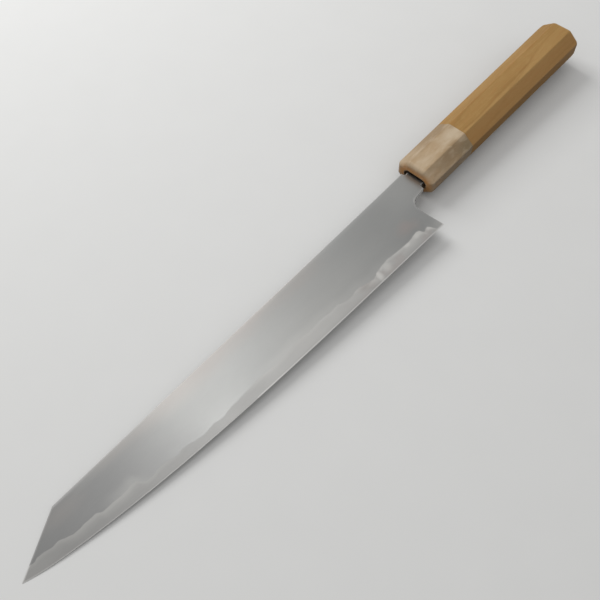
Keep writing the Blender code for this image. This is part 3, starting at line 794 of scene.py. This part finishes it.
class Finish:
    """Node tree of one material, which lays one tint after another over a first colour."""

    def __init__(self, name, tone):
        self.material = bpy.data.materials.new(name)
        self.material.use_nodes = True
        self.tree = self.material.node_tree
        self.shader = self.tree.nodes["Principled BSDF"]
        self.tone = tone

    def put(self, value, socket):
        """Link a socket, or set a constant."""
        if isinstance(value, bpy.types.NodeSocket):
            self.tree.links.new(value, socket)
        elif socket.type == "RGBA":
            socket.default_value = (*value, 1.0)
        else:
            socket.default_value = value

    def node(self, kind, inputs=None, **settings):
        """A node with its settings, and with its inputs by name or number."""
        made = self.tree.nodes.new(kind)
        for name, value in settings.items():
            setattr(made, name, value)
        for name, value in (inputs or {}).items():
            self.put(value, made.inputs[name])
        return made

    def attribute(self, name, output="Vector"):
        """Attribute of the mesh, by its name."""
        return self.node("ShaderNodeAttribute", attribute_name=name).outputs[output]

    def object_place(self):
        """Place in the object's own coordinates."""
        return self.node("ShaderNodeTexCoord").outputs["Object"]

    def parts(self, vector):
        """The three parts of a vector."""
        return self.node("ShaderNodeSeparateXYZ", {"Vector": vector}).outputs[:]

    def math(self, operation, first, second=0.0):
        """One sum on numbers."""
        return self.node("ShaderNodeMath", {0: first, 1: second}, operation=operation).outputs[0]

    def vector_math(self, operation, *vectors):
        """One sum on vectors, as a node."""
        return self.node("ShaderNodeVectorMath", dict(enumerate(vectors)), operation=operation)

    def product(self, first, *others):
        """Some numbers multiplied."""
        for other in others:
            first = self.math("MULTIPLY", first, other)
        return first

    def largest(self, first, *others):
        """The largest of some numbers."""
        for other in others:
            first = self.math("MAXIMUM", first, other)
        return first

    def distance(self, first, second):
        """Length of a line with these two sides: the root of the sum of their squares."""
        squares = self.math("ADD", self.product(first, first), self.product(second, second))
        return self.math("SQRT", squares)

    def between(self, factor, low, high):
        """Number from low at factor 0 to high at factor 1."""
        values = {"Value": factor, "To Min": low, "To Max": high}
        return self.node("ShaderNodeMapRange", values).outputs[0]

    def step(self, value, start, end):
        """A soft step from 0 at start to 1 at end, which may lie below the start."""
        first, last = (0.0, 1.0) if start < end else (1.0, 0.0)
        values = {"Value": value, "From Min": min(start, end), "From Max": max(start, end),
                  "To Min": first, "To Max": last}
        return self.node("ShaderNodeMapRange", values, interpolation_type="SMOOTHSTEP").outputs[0]

    def band(self, value, start, full, fade, end):
        """A soft band: 0 up to its start, 1 from full to fade, and 0 again past its end."""
        return self.product(self.step(value, start, full), self.step(value, end, fade))

    def spot(self, vector, centre, reach):
        """A soft spot: 1 about its centre, 0 at a distance of its reach along each axis."""
        moved = self.vector_math("SUBTRACT", vector, centre).outputs[0]
        scaled = self.vector_math("DIVIDE", moved, reach).outputs[0]
        return self.step(self.vector_math("LENGTH", scaled).outputs["Value"], 1.0, SPOT_HEART)

    def noise(self, vector, grain):
        """Noise about 0.5 with the given grain."""
        along, across, detail, roughness, distortion = grain
        scaled = self.node("ShaderNodeMapping", {"Vector": vector,
                                                 "Scale": (along, across, across)})
        values = {"Vector": scaled.outputs[0], "Scale": 1.0, "Detail": detail,
                  "Roughness": roughness, "Distortion": distortion}
        return self.node("ShaderNodeTexNoise", values).outputs["Fac"]

    def mix(self, factor, first, second):
        """Colour blend."""
        return self.node("ShaderNodeMix", {0: factor, 6: first, 7: second},
                         data_type="RGBA").outputs[2]

    def tint(self, colour, *shares):
        """Lay a colour over the finish, as strong as the product of the shares."""
        self.tone = self.mix(self.product(*shares), self.tone, colour)

    def patch(self, colour, vector, place):
        """Lay a colour over one patch, which is given by its centre, reach and strength."""
        centre, reach, strength = place
        self.tint(colour, self.spot(vector, centre, reach), strength)

    def fleck(self, noise, *tints):
        """Lay colours over parts of a noise: each starts, is full and is as strong as given."""
        for colour, start, full, strength in tints:
            self.tint(colour, self.step(noise, start, full), strength)

    def relief(self, height, depth, strength):
        """Surface normal of a relief of the given depth in metres."""
        return self.node("ShaderNodeBump", {"Height": height, "Distance": depth,
                                            "Strength": strength}).outputs[0]

    def done(self, **inputs):
        """The material, with its colour and the given values on the shader's own sockets. Their
        names have underscores in place of spaces.
        """
        for name, value in {"Base_Color": self.tone, **inputs}.items():
            self.put(value, self.shader.inputs[name.replace("_", " ")])
        return self.material


class SteelFinish(Finish):
    """Finish of one steel of the blade, with what both steels read: the place on the knife, the
    run from the heel and the gap over the clad line in metres, the share of the blade's height,
    the polish of the edges and the fine lengthwise scratches.
    """

    def __init__(self, name, tone):
        super().__init__(name, tone)
        self.place = self.attribute("knife_place")
        self.blade = self.attribute("blade_place")
        self.run, self.gap, self.height = self.parts(self.blade)
        self.polish = self.attribute("edge_polish", "Fac")
        self.scratches = self.noise(self.place, SCRATCHES)


class HandleFinish(Finish):
    """Finish of one part of the handle, with the place in metres along the knife's own axes."""

    def __init__(self, name, tone, form):
        super().__init__(name, tone)
        self.form = form
        self.place = self.attribute("knife_place")
        self.x, self.y, self.z = self.parts(self.place)

    def over_ridge(self):
        """How far a point lies above the upper ridges beside the side flats."""
        front, butt = self.form.ridge_heights()
        along = self.math("DIVIDE", self.x, self.form.s.handle_length)
        return self.math("SUBTRACT", self.z, self.between(along, front, butt))

    def side_share(self):
        """1 on the side flats and under them, 0 on the upper corner flats and the top."""
        return self.step(self.over_ridge(), 0.0002, -0.0010)

    def ridge_share(self):
        """1 on the upper ridges beside the side flats, fading out on both sides of them."""
        return self.step(self.math("ABSOLUTE", self.over_ridge()), 0.0009, 0.0002)

    def from_mouth(self, half_height):
        """Distance from the line that joins the centres of the mouth's two round ends."""
        s = self.form.s
        beside = self.math("ABSOLUTE", self.math("SUBTRACT", self.y, s.mouth_offset))
        past_end = self.math("SUBTRACT", beside, 0.5 * s.mouth_length - half_height)
        return self.distance(self.largest(past_end, 0.0), self.z)


def tint_along_line(steel, colours, clouds):
    """Tints of the cladding over the clad line, in their order: darker clouds near the heel, one
    stretch of painted shade, two of painted light, the neck, a painted highlight at the corner of
    the heel and a bright rim.
    """
    run, gap, height = steel.run, steel.gap, steel.height
    near_heel = steel.product(steel.step(run, 0.060, 0.030), 0.25)
    low_clouds = steel.product(steel.step(gap, 0.011, 0.0005), steel.step(clouds, 0.65, 0.35))
    steel.tint(colours.cladding_dark_and_painted_shade, low_clouds, near_heel)
    # Painted shade: a darker stretch over the clad line, where the lamp's reflection falls off
    shaded = steel.band(run, 0.160, 0.178, 0.190, 0.205)
    steel.tint(colours.cladding_dark_and_painted_shade, shaded, steel.step(gap, 0.014, 0.002), 0.42)
    # Painted light: two lighter stretches over the clad line, where the lamp's reflection falls
    # short
    painted_light = steel.largest(steel.band(run, 0.015, 0.060, 0.112, 0.138),
                        steel.band(run, 0.199, 0.209, 0.214, 0.228))
    steel.tint(colours.core_cloud_and_painted_light, painted_light, steel.step(gap, 0.0060, 0.0010), 0.16)
    neck = steel.product(steel.step(run, 0.024, -0.006), steel.step(height, 0.45, 0.90))
    steel.tint(colours.core_cloud_and_painted_light, neck, 0.15)
    # Painted highlight at the corner of the heel
    steel.patch(colours.core_cloud_and_painted_light, steel.blade, PAINTED_HEEL_HIGHLIGHT)
    steel.patch(colours.cladding_blush, steel.blade, HEEL_BLUSH)
    steel.tint(colours.core_cloud_and_painted_light, steel.step(gap, 0.0007, 0.0), near_heel)


def cladding_finish(colours):
    """Satin cladding: slow clouds, a warm strip along the spine, a painted highlight over the lower
    blade in the heel half and in a pale patch near the spine, painted shade towards the point with
    a warm patch there, the tints over the clad line, fine lengthwise scratches and polished eased
    edges.
    """
    steel = SteelFinish("satin_cladding", colours.cladding)
    run, height = steel.run, steel.height
    clouds = steel.noise(steel.place, SATIN_CLOUDS)
    warm_spine = steel.product(steel.step(height, 0.62, 0.98), steel.step(clouds, 0.3, 0.6),
                               steel.step(run, 0.050, 0.085))
    steel.tint(colours.cladding_warm, warm_spine, 0.9)
    # Painted highlight: the lower blade is lighter over the heel half, which widens the lamp's
    # reflection towards the heel
    middle = steel.band(run, 0.012, 0.075, 0.090, 0.135)
    steel.tint(colours.core_cloud_and_painted_light, middle, steel.step(height, 0.98, 0.40), 0.20)
    # Painted shade: darker towards the point, less so along the spine, where the lamp's reflection
    # fades
    below_spine = steel.largest(steel.step(height, 0.98, 0.76), steel.step(run, 0.215, 0.240))
    steel.tint(colours.cladding_dark_and_painted_shade, steel.step(run, 0.160, 0.220),
               steel.between(below_spine, 0.25, 0.95))
    # Painted highlight near the spine towards the point, then a warm patch
    steel.patch(colours.core_cloud_and_painted_light, steel.blade, PAINTED_SPINE_HIGHLIGHT)
    steel.patch(colours.cladding_warm, steel.blade, WARM_POINT)

    tint_along_line(steel, colours, clouds)
    steel.tint(colours.polished, steel.scratches, 0.10)
    steel.tint(colours.polished, steel.polish, 0.12)
    satin = steel.between(clouds, colours.cladding_roughness - 0.03,
                          colours.cladding_roughness + 0.04)
    rough = steel.math("ADD", satin, steel.product(steel.polish, 0.25))
    return steel.done(Metallic=1.0, Roughness=rough,
                      Normal=steel.relief(steel.scratches, 0.000004, 0.5))


def core_haze(steel, clouds, near_heel):
    """Share of haze on the core: clouds and an even strip under the clad line, which fade along
    the blade, and the bright clouds near the heel, whichever is strongest.
    """
    run, gap = steel.run, steel.gap
    under_line = steel.product(steel.step(gap, -0.0042, -0.0002),
                               steel.step(clouds, 0.42, 0.62), near_heel, 0.45)
    along_line = steel.largest(steel.product(near_heel, 0.25),
                               steel.product(steel.step(run, 0.175, 0.205), 0.12),
                               steel.product(steel.step(run, 0.150, 0.130), 0.11))
    haze = steel.largest(under_line,
                         steel.product(steel.step(gap, -0.0024, -0.0002), along_line))
    for centre, reach, strength in HEEL_CLOUDS:
        haze = steel.largest(haze, steel.product(steel.spot(steel.blade, centre, reach), strength))
    return haze


def core_finish(colours):
    """Bare core: darker towards the point and lighter at both ends of the edge, with a haze along
    the clad line, bright clouds near the heel, painted light under the clad line towards the point,
    lighter and duller stretches of the edge, fine scratches and a polished bevel.
    """
    steel = SteelFinish("bare_core", colours.core)
    run, gap, height = steel.run, steel.gap, steel.height
    clouds = steel.noise(steel.place, CORE_CLOUDS)
    near_heel = steel.step(run, 0.085, 0.045)

    steel.tint(colours.core_dark, steel.step(run, 0.120, 0.200))
    heel_side = steel.product(steel.step(run, 0.130, 0.005), 0.36,
                              steel.between(steel.step(height, 0.02, 0.10), 0.55, 1.0))
    point_side = steel.product(steel.step(run, 0.242, 0.268), 0.16)
    steel.tint(colours.core_cloud_and_painted_light, steel.largest(heel_side, point_side))
    # Painted light: a lighter stretch under the clad line towards the point
    painted_light = steel.band(run, 0.200, 0.214, 0.244, 0.256)
    steel.tint(colours.core_cloud_and_painted_light, painted_light, steel.step(gap, -0.0052, -0.0010), 0.13)
    steel.patch(colours.core_cloud_and_painted_light, steel.blade, LIGHT_EDGE)
    steel.patch(colours.core_dark, steel.blade, DULL_EDGE)
    steel.tint(colours.core_blush, steel.step(clouds, 0.50, 0.40), near_heel, 0.5)
    steel.patch(colours.cladding_warm, steel.blade, WARM_EDGE)
    steel.tint(colours.core_cloud_and_painted_light, core_haze(steel, clouds, near_heel))

    steel.tint(colours.polished, steel.scratches, 0.10)
    steel.tint(colours.polished, steel.polish, 0.6)
    rough = steel.between(clouds, colours.core_roughness - 0.03, colours.core_roughness + 0.05)
    return steel.done(Metallic=1.0, Roughness=rough,
                      Normal=steel.relief(steel.scratches, 0.000003, 0.5))


def tint_mouth(horn, colours):
    """Tints of the horn's front: painted light on the rim, an amber ring with painted glow round
    the mouth, and painted shade inside it.
    """
    half_mouth = 0.5 * horn.form.s.mouth_height
    away = horn.from_mouth(half_mouth)
    ring = horn.product(horn.step(away, half_mouth + 0.0052, half_mouth + 0.0014),
                        horn.step(horn.x, 0.012, 0.008))
    # Painted light: a paler front rim, standing in for light through the translucent horn
    horn.tint(colours.horn_pale, horn.step(horn.x, 0.0034, 0.0008), 0.22)
    # Amber ring: warm horn colour, partly painted glow through the translucent horn
    horn.tint(colours.horn_amber_and_painted_glow, ring, 0.9)
    # Painted shade inside the mouth
    inside = horn.step(away, half_mouth + 0.0006, half_mouth + 0.0001)
    horn.tint(colours.horn_painted_mouth_shade, inside, 0.9)


def horn_finish(colours, form):
    """Pale horn: soft clouds drawn out along the handle, a brown streak towards the edge side, a
    grey veil and a cream patch near the wood, painted shade that makes the spine side and the side
    flats browner, a paler rim as painted light, an amber ring with painted glow round the mouth,
    painted shade inside the mouth, and fine flecks and fibres.
    """
    horn = HandleFinish("pale_horn", colours.horn_body, form)
    clouds = horn.noise(horn.place, HORN_CLOUDS)
    fibres = horn.noise(horn.place, HORN_FIBRES)
    flecks = horn.noise(horn.place, HORN_FLECKS)
    both = horn.node("ShaderNodeCombineXYZ", {"X": clouds, "Y": clouds}).outputs[0]
    bent = horn.vector_math("MULTIPLY_ADD", both, HORN_BEND, horn.place).outputs[0]

    horn.tint(colours.horn_pale, horn.step(clouds, 0.42, 0.72), 0.40)
    horn.patch(colours.horn_brown, bent, BROWN_STREAK)
    horn.patch(colours.horn_grey, bent, GREY_VEIL)
    # Painted shade: browner spine side, which tones down the corner flat that faces the key lamp
    horn.tint(colours.horn_brown, horn.step(horn.parts(bent)[1], 0.0060, 0.0088),
              horn.between(horn.step(horn.x, 0.006, 0.026), 0.30, 0.75))
    horn.patch(colours.horn_pale, bent, CREAM_PATCH)
    horn.patch(colours.horn_pale, bent, FRONT_GLOW)
    horn.tint(colours.horn_brown, horn.step(horn.x, 0.017, 0.026), 0.12)
    # Painted shade on the side flats and under them
    horn.tint(colours.horn_painted_side_shade, horn.side_share(), 0.75)
    tint_mouth(horn, colours)
    horn.fleck(flecks, (colours.horn_pale, 0.50, 0.70, 0.28),
               (colours.horn_brown, 0.48, 0.30, 0.26))
    horn.tint(colours.horn_brown, fibres, 0.16)
    return horn.done(Roughness=horn.between(clouds, 0.32, 0.44), Specular_IOR_Level=0.30,
                     Normal=horn.relief(fibres, 0.00002, 0.3))


def bent_across(wood):
    """The place across the handle, bent by slow waves along it."""
    waves = wood.math("SUBTRACT", wood.noise(wood.place, RING_WAVES), 0.5)
    return wood.math("ADD", wood.y, wood.product(waves, RING_BEND))


def tint_streak(wood, colours, bent_y):
    """Light streak with a dark line along its border, which rises across the upper flat."""
    top = wood.step(wood.z, 0.004, 0.008)
    rise = wood.product(wood.step(wood.x, 0.086, 0.143), STREAK_RISE)
    beside = wood.math("SUBTRACT", wood.math("ADD", bent_y, STREAK_OFFSET), rise)
    wood.tint(colours.wood_light, wood.step(beside, -0.0001, -0.0013), top, 0.75)
    wood.tint(colours.wood_dark, wood.step(wood.math("ABSOLUTE", beside), 0.0010, 0.0002), top,
              0.30)


def wood_finish(colours, form):
    """Oiled hardwood: rings about a far axis, bent by noise, with streaks, mottle, flecks, fibres
    and pores, one light streak with a dark line on the upper flat, a plainer butt, redder corner
    flats, painted shade on the spine-side corner flat and the side flats, a painted highlight on a
    ridge and a rim that is worn lighter.
    """
    wood = HandleFinish("oiled_hardwood", colours.wood_body, form)
    x, y, z, place = wood.x, wood.y, wood.z, wood.place
    length = form.s.handle_length
    fibres = wood.noise(place, WOOD_FIBRES)
    bent_y = bent_across(wood)

    radius = wood.distance(wood.math("ADD", bent_y, RING_AXIS[0]),
                           wood.math("ADD", z, RING_AXIS[1]))
    rings = wood.math("SINE", wood.product(radius, 2.0 * math.pi / RING_SPACING))
    wood.tint(colours.wood_light, wood.between(rings, 0.10, 0.34))
    wood.fleck(wood.noise(place, WOOD_STREAKS), (colours.wood_light, 0.50, 0.68, 0.45),
               (colours.wood_red, 0.46, 0.34, 0.30))
    tint_streak(wood, colours, bent_y)
    wood.tint(colours.wood_body, wood.step(x, length - 0.040, length - 0.006), 0.55)

    wood.fleck(wood.noise(place, WOOD_MOTTLE), (colours.wood_dark, 0.48, 0.30, 0.35),
               (colours.wood_light, 0.54, 0.72, 0.5))
    wood.fleck(wood.noise(place, WOOD_FLECKS), (colours.wood_light, 0.50, 0.68, 0.40),
               (colours.wood_red, 0.48, 0.32, 0.28))
    wood.tint(colours.wood_dark, fibres, 0.30)
    wood.fleck(wood.noise(place, WOOD_PORES), (colours.wood_dark, 0.36, 0.26, 0.35))

    sides = wood.side_share()
    wood.tint(colours.wood_red, wood.step(y, -0.0058, -0.0068), 0.25)
    # Painted shade: the spine-side corner flat is darker towards the butt, which tones down the key
    # lamp's light on it
    wood.tint(colours.wood_dark, wood.step(y, 0.0058, 0.0068), wood.step(x, 0.100, 0.140), 0.28)
    # Painted shade on the side flats and under them
    wood.tint(colours.wood_dark, sides, 0.60)
    # Painted highlight: the edge-side ridge is lighter, as if it caught the light; the butt's rim
    # is worn lighter
    ridge = wood.product(wood.ridge_share(), wood.step(y, -0.0085, -0.0105), 0.12)
    rim = wood.product(wood.band(x, length - 0.0024, length - 0.0016, length - 0.0008,
                                 length - 0.0002), wood.between(sides, 1.0, 0.3), 0.25)
    wood.tint(colours.wood_worn_and_painted_highlight, wood.largest(ridge, rim))
    return wood.done(Roughness=wood.between(fibres, 0.50, 0.62), Specular_IOR_Level=0.16,
                     Normal=wood.relief(fibres, 0.00003, 0.35))


def dowel_finish(colours):
    """Plain wood of the dowel: fibres along it. Its dark tone is partly painted shade for the deep
    slot.
    """
    wood = Finish("dowel_wood", colours.dowel)
    fibres = wood.noise(wood.object_place(), DOWEL_FIBRES)
    wood.tint(colours.wood_dark, wood.step(fibres, 0.35, 0.65))
    return wood.done(Roughness=wood.between(fibres, 0.6, 0.75))


def floor_finish(stage):
    """Pale floor with a faint mottle. The camera, mirrors and clear pieces see it pale, and the
    light that it throws back at the knife is that of its darker bounce colour.
    """
    floor = Finish("pale_floor", tuple(FLOOR_SHADE * part for part in stage.floor_colour))
    mottle = floor.noise(floor.object_place(), FLOOR_MOTTLE)
    floor.tint(stage.floor_colour, mottle)
    rays = floor.node("ShaderNodeLightPath").outputs
    seen = floor.largest(rays["Is Glossy Ray"], rays["Is Transmission Ray"],
                         rays["Is Camera Ray"])
    floor.tone = floor.mix(seen, stage.floor_bounce, floor.tone)
    return floor.done(Roughness=floor.between(mottle, 0.90, 1.0), Specular_IOR_Level=0.0)


class KNIFE_OT_blade(Operator):
    """Make the three layers of the blade: the core and the cladding on both of its faces"""

    bl_idname = "knife.make_blade"
    bl_label = "Layered Blade"

    def execute(self, context):
        colours = context.scene.knife_finish
        grid = BladeGrid(BladeForm(context.scene.knife_blade))
        clad = cladding_finish(colours)
        bare = core_finish(colours)
        steel_piece("blade_core", grid, True, 1, bare, "core_steel")
        steel_piece("blade_cladding_left", grid, False, 1, clad, "cladding_left")
        steel_piece("blade_cladding_right", grid, False, -1, clad, "cladding_right")
        return {"FINISHED"}


class KNIFE_OT_ferrule(Operator):
    """Make the horn ferrule: rounded front rim, eight sides, bore and slotted mouth"""

    bl_idname = "knife.make_ferrule"
    bl_label = "Horn Ferrule"

    def execute(self, context):
        form = HandleForm(context.scene.knife_handle)
        s = form.s
        setback, inset = form.rim(s.rim_radius)
        side_x = np.linspace(s.rim_radius, s.ferrule_length, SIDE_STATIONS)[1:]
        outside = np.concatenate([form.outline(setback, inset),
                                  form.outline(side_x, np.zeros_like(side_x))])
        bore = form.bore(np.linspace(s.ferrule_length, s.front_wall, BORE_STATIONS))
        mouth = form.mouth(np.linspace(s.front_wall, 0.0, BORE_STATIONS))
        face = blend_loops(mouth[-1], outside[0], FACE_LOOPS)
        points, quads = loops_to_mesh(np.concatenate([outside, bore, mouth, face]), True)
        add_piece("horn_ferrule", points, quads[:, ::-1], {},
                  horn_finish(context.scene.knife_finish, form), "ferrule")
        return {"FINISHED"}


class KNIFE_OT_handle(Operator):
    """Make the eight-sided wooden handle with its eased butt and the bore for the dowel"""

    bl_idname = "knife.make_handle"
    bl_label = "Wooden Handle"

    def execute(self, context):
        form = HandleForm(context.scene.knife_handle)
        s = form.s
        colours = context.scene.knife_finish
        front = s.ferrule_length + s.glue_line
        setback, inset = form.rim(s.butt_radius)
        easing_start = s.handle_length - s.ridge_easing
        side_x = np.concatenate([
            np.linspace(front, easing_start, 2 * SIDE_STATIONS)[:-1],
            np.linspace(easing_start, s.handle_length - s.butt_radius, EASING_STATIONS)])
        outside = form.outline(side_x, np.zeros_like(side_x))
        butt = form.outline(s.handle_length - setback[-2::-1], inset[-2::-1])
        butt_end = butt[-1:] * (1.0, 0.0, 0.0)
        bore = form.bore(np.linspace(s.bore_end, front, BORE_STATIONS))
        bore_end = bore[:1] * (1.0, 0.0, 0.0)
        loops = np.concatenate([bore_end, bore, outside, butt,
                                blend_loops(butt[-1], butt_end[0], FACE_LOOPS), butt_end])
        points, quads = loops_to_mesh(loops, False)
        around = loops.shape[1]
        quads = np.where(quads < around, 0, quads)
        last = len(points) - around
        quads = np.where(quads >= last, last, quads)
        add_piece("wooden_handle", points, quads[:, ::-1], {},
                  wood_finish(colours, form), "handle_body")
        return {"FINISHED"}


class KNIFE_OT_dowel(Operator):
    """Give the dowel inside the handle its plain wood, whose dark tone is partly painted shade"""

    bl_idname = "knife.finish_dowel"
    bl_label = "Tang Dowel"

    def execute(self, context):
        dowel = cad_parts["tang_dowel"]
        dowel.material_slots[0].material = dowel_finish(context.scene.knife_finish)
        return {"FINISHED"}


class KNIFE_OT_stage(Operator):
    """Set up the pale floor, the soft lamps, the world and the camera"""

    bl_idname = "knife.make_stage"
    bl_label = "Stage"

    def execute(self, context):
        s = context.scene.knife_stage
        mesh = bpy.data.meshes.new("floor")
        corners = [(-FLOOR_HALF, -FLOOR_HALF, 0.0), (FLOOR_HALF, -FLOOR_HALF, 0.0),
                   (FLOOR_HALF, FLOOR_HALF, 0.0), (-FLOOR_HALF, FLOOR_HALF, 0.0)]
        mesh.from_pydata(corners, [], [(0, 1, 2, 3)])
        mesh.materials.append(floor_finish(s))
        self.place(context, "floor", mesh)

        world = bpy.data.worlds.new("even_white")
        world.use_nodes = True
        background = world.node_tree.nodes["Background"]
        background.inputs["Color"].default_value = (1.0, 1.0, 1.0, 1.0)
        background.inputs["Strength"].default_value = s.world_strength
        context.scene.world = world

        self.lamp(context, "key_lamp", s.key_power, *KEY_LAMP)
        self.lamp(context, "overhead_lamp", s.sheen_power, *OVERHEAD_LAMP)

        view = bpy.data.cameras.new("camera")
        view.lens = s.camera_lens
        view.sensor_width = SENSOR_WIDTH
        view.clip_start = CLIP_START
        camera = self.place(context, "camera", view)
        camera.location = s.camera_place
        camera.rotation_euler = s.camera_turn
        context.scene.camera = camera
        context.scene.view_settings.view_transform = "Standard"
        return {"FINISHED"}

    def place(self, context, name, data):
        """A new object in the scene with the given mesh, light or camera."""
        made = bpy.data.objects.new(name, data)
        context.scene.collection.objects.link(made)
        return made

    def lamp(self, context, name, power, direction, distance, sizes):
        """A soft rectangular lamp that faces the lamps' aim from the given direction."""
        light = bpy.data.lights.new(name, "AREA")
        light.shape = "RECTANGLE"
        light.size, light.size_y = sizes
        light.energy = power
        away = Vector(direction).normalized()
        spot = Matrix.Translation(Vector(LAMP_AIM) + away * distance)
        turned = away.to_track_quat("Z", "Y").to_matrix().to_4x4()
        self.place(context, name, light).matrix_world = spot @ turned


class KNIFE_PT_builder(Panel):
    """Steps that build the knife, and the sizes and colours that they use"""

    bl_label = "Sujihiki Knife"
    bl_space_type = "VIEW_3D"
    bl_region_type = "UI"
    bl_category = "Knife"

    def draw(self, context):
        for step in STEPS:
            self.layout.operator(step.bl_idname)
        for group in GROUPS:
            box = self.layout.box()
            values = getattr(context.scene, group)
            for name in values.bl_rna.properties.keys():
                if name not in {"rna_type", "name"}:
                    box.prop(values, name)


GROUPS = {"knife_blade": KNIFE_PG_blade, "knife_handle": KNIFE_PG_handle,
          "knife_finish": KNIFE_PG_finish, "knife_stage": KNIFE_PG_stage}
STEPS = (KNIFE_OT_blade, KNIFE_OT_ferrule, KNIFE_OT_handle, KNIFE_OT_dowel, KNIFE_OT_stage)
CLASSES = (*GROUPS.values(), *STEPS, KNIFE_PT_builder)


def register():
    """Register the classes and hang the groups of sizes on the scene."""
    for each in CLASSES:
        bpy.utils.register_class(each)
    for name, group in GROUPS.items():
        setattr(bpy.types.Scene, name, PointerProperty(type=group))


def unregister():
    """Undo what register did."""
    for name in GROUPS:
        delattr(bpy.types.Scene, name)
    for each in CLASSES[::-1]:
        bpy.utils.unregister_class(each)


def main():
    """Build the knife and its stage."""
    register()
    bpy.ops.knife.make_blade()
    bpy.ops.knife.make_ferrule()
    bpy.ops.knife.make_handle()
    bpy.ops.knife.finish_dowel()
    bpy.ops.knife.make_stage()
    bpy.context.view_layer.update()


if __name__ == "__main__":
    main()
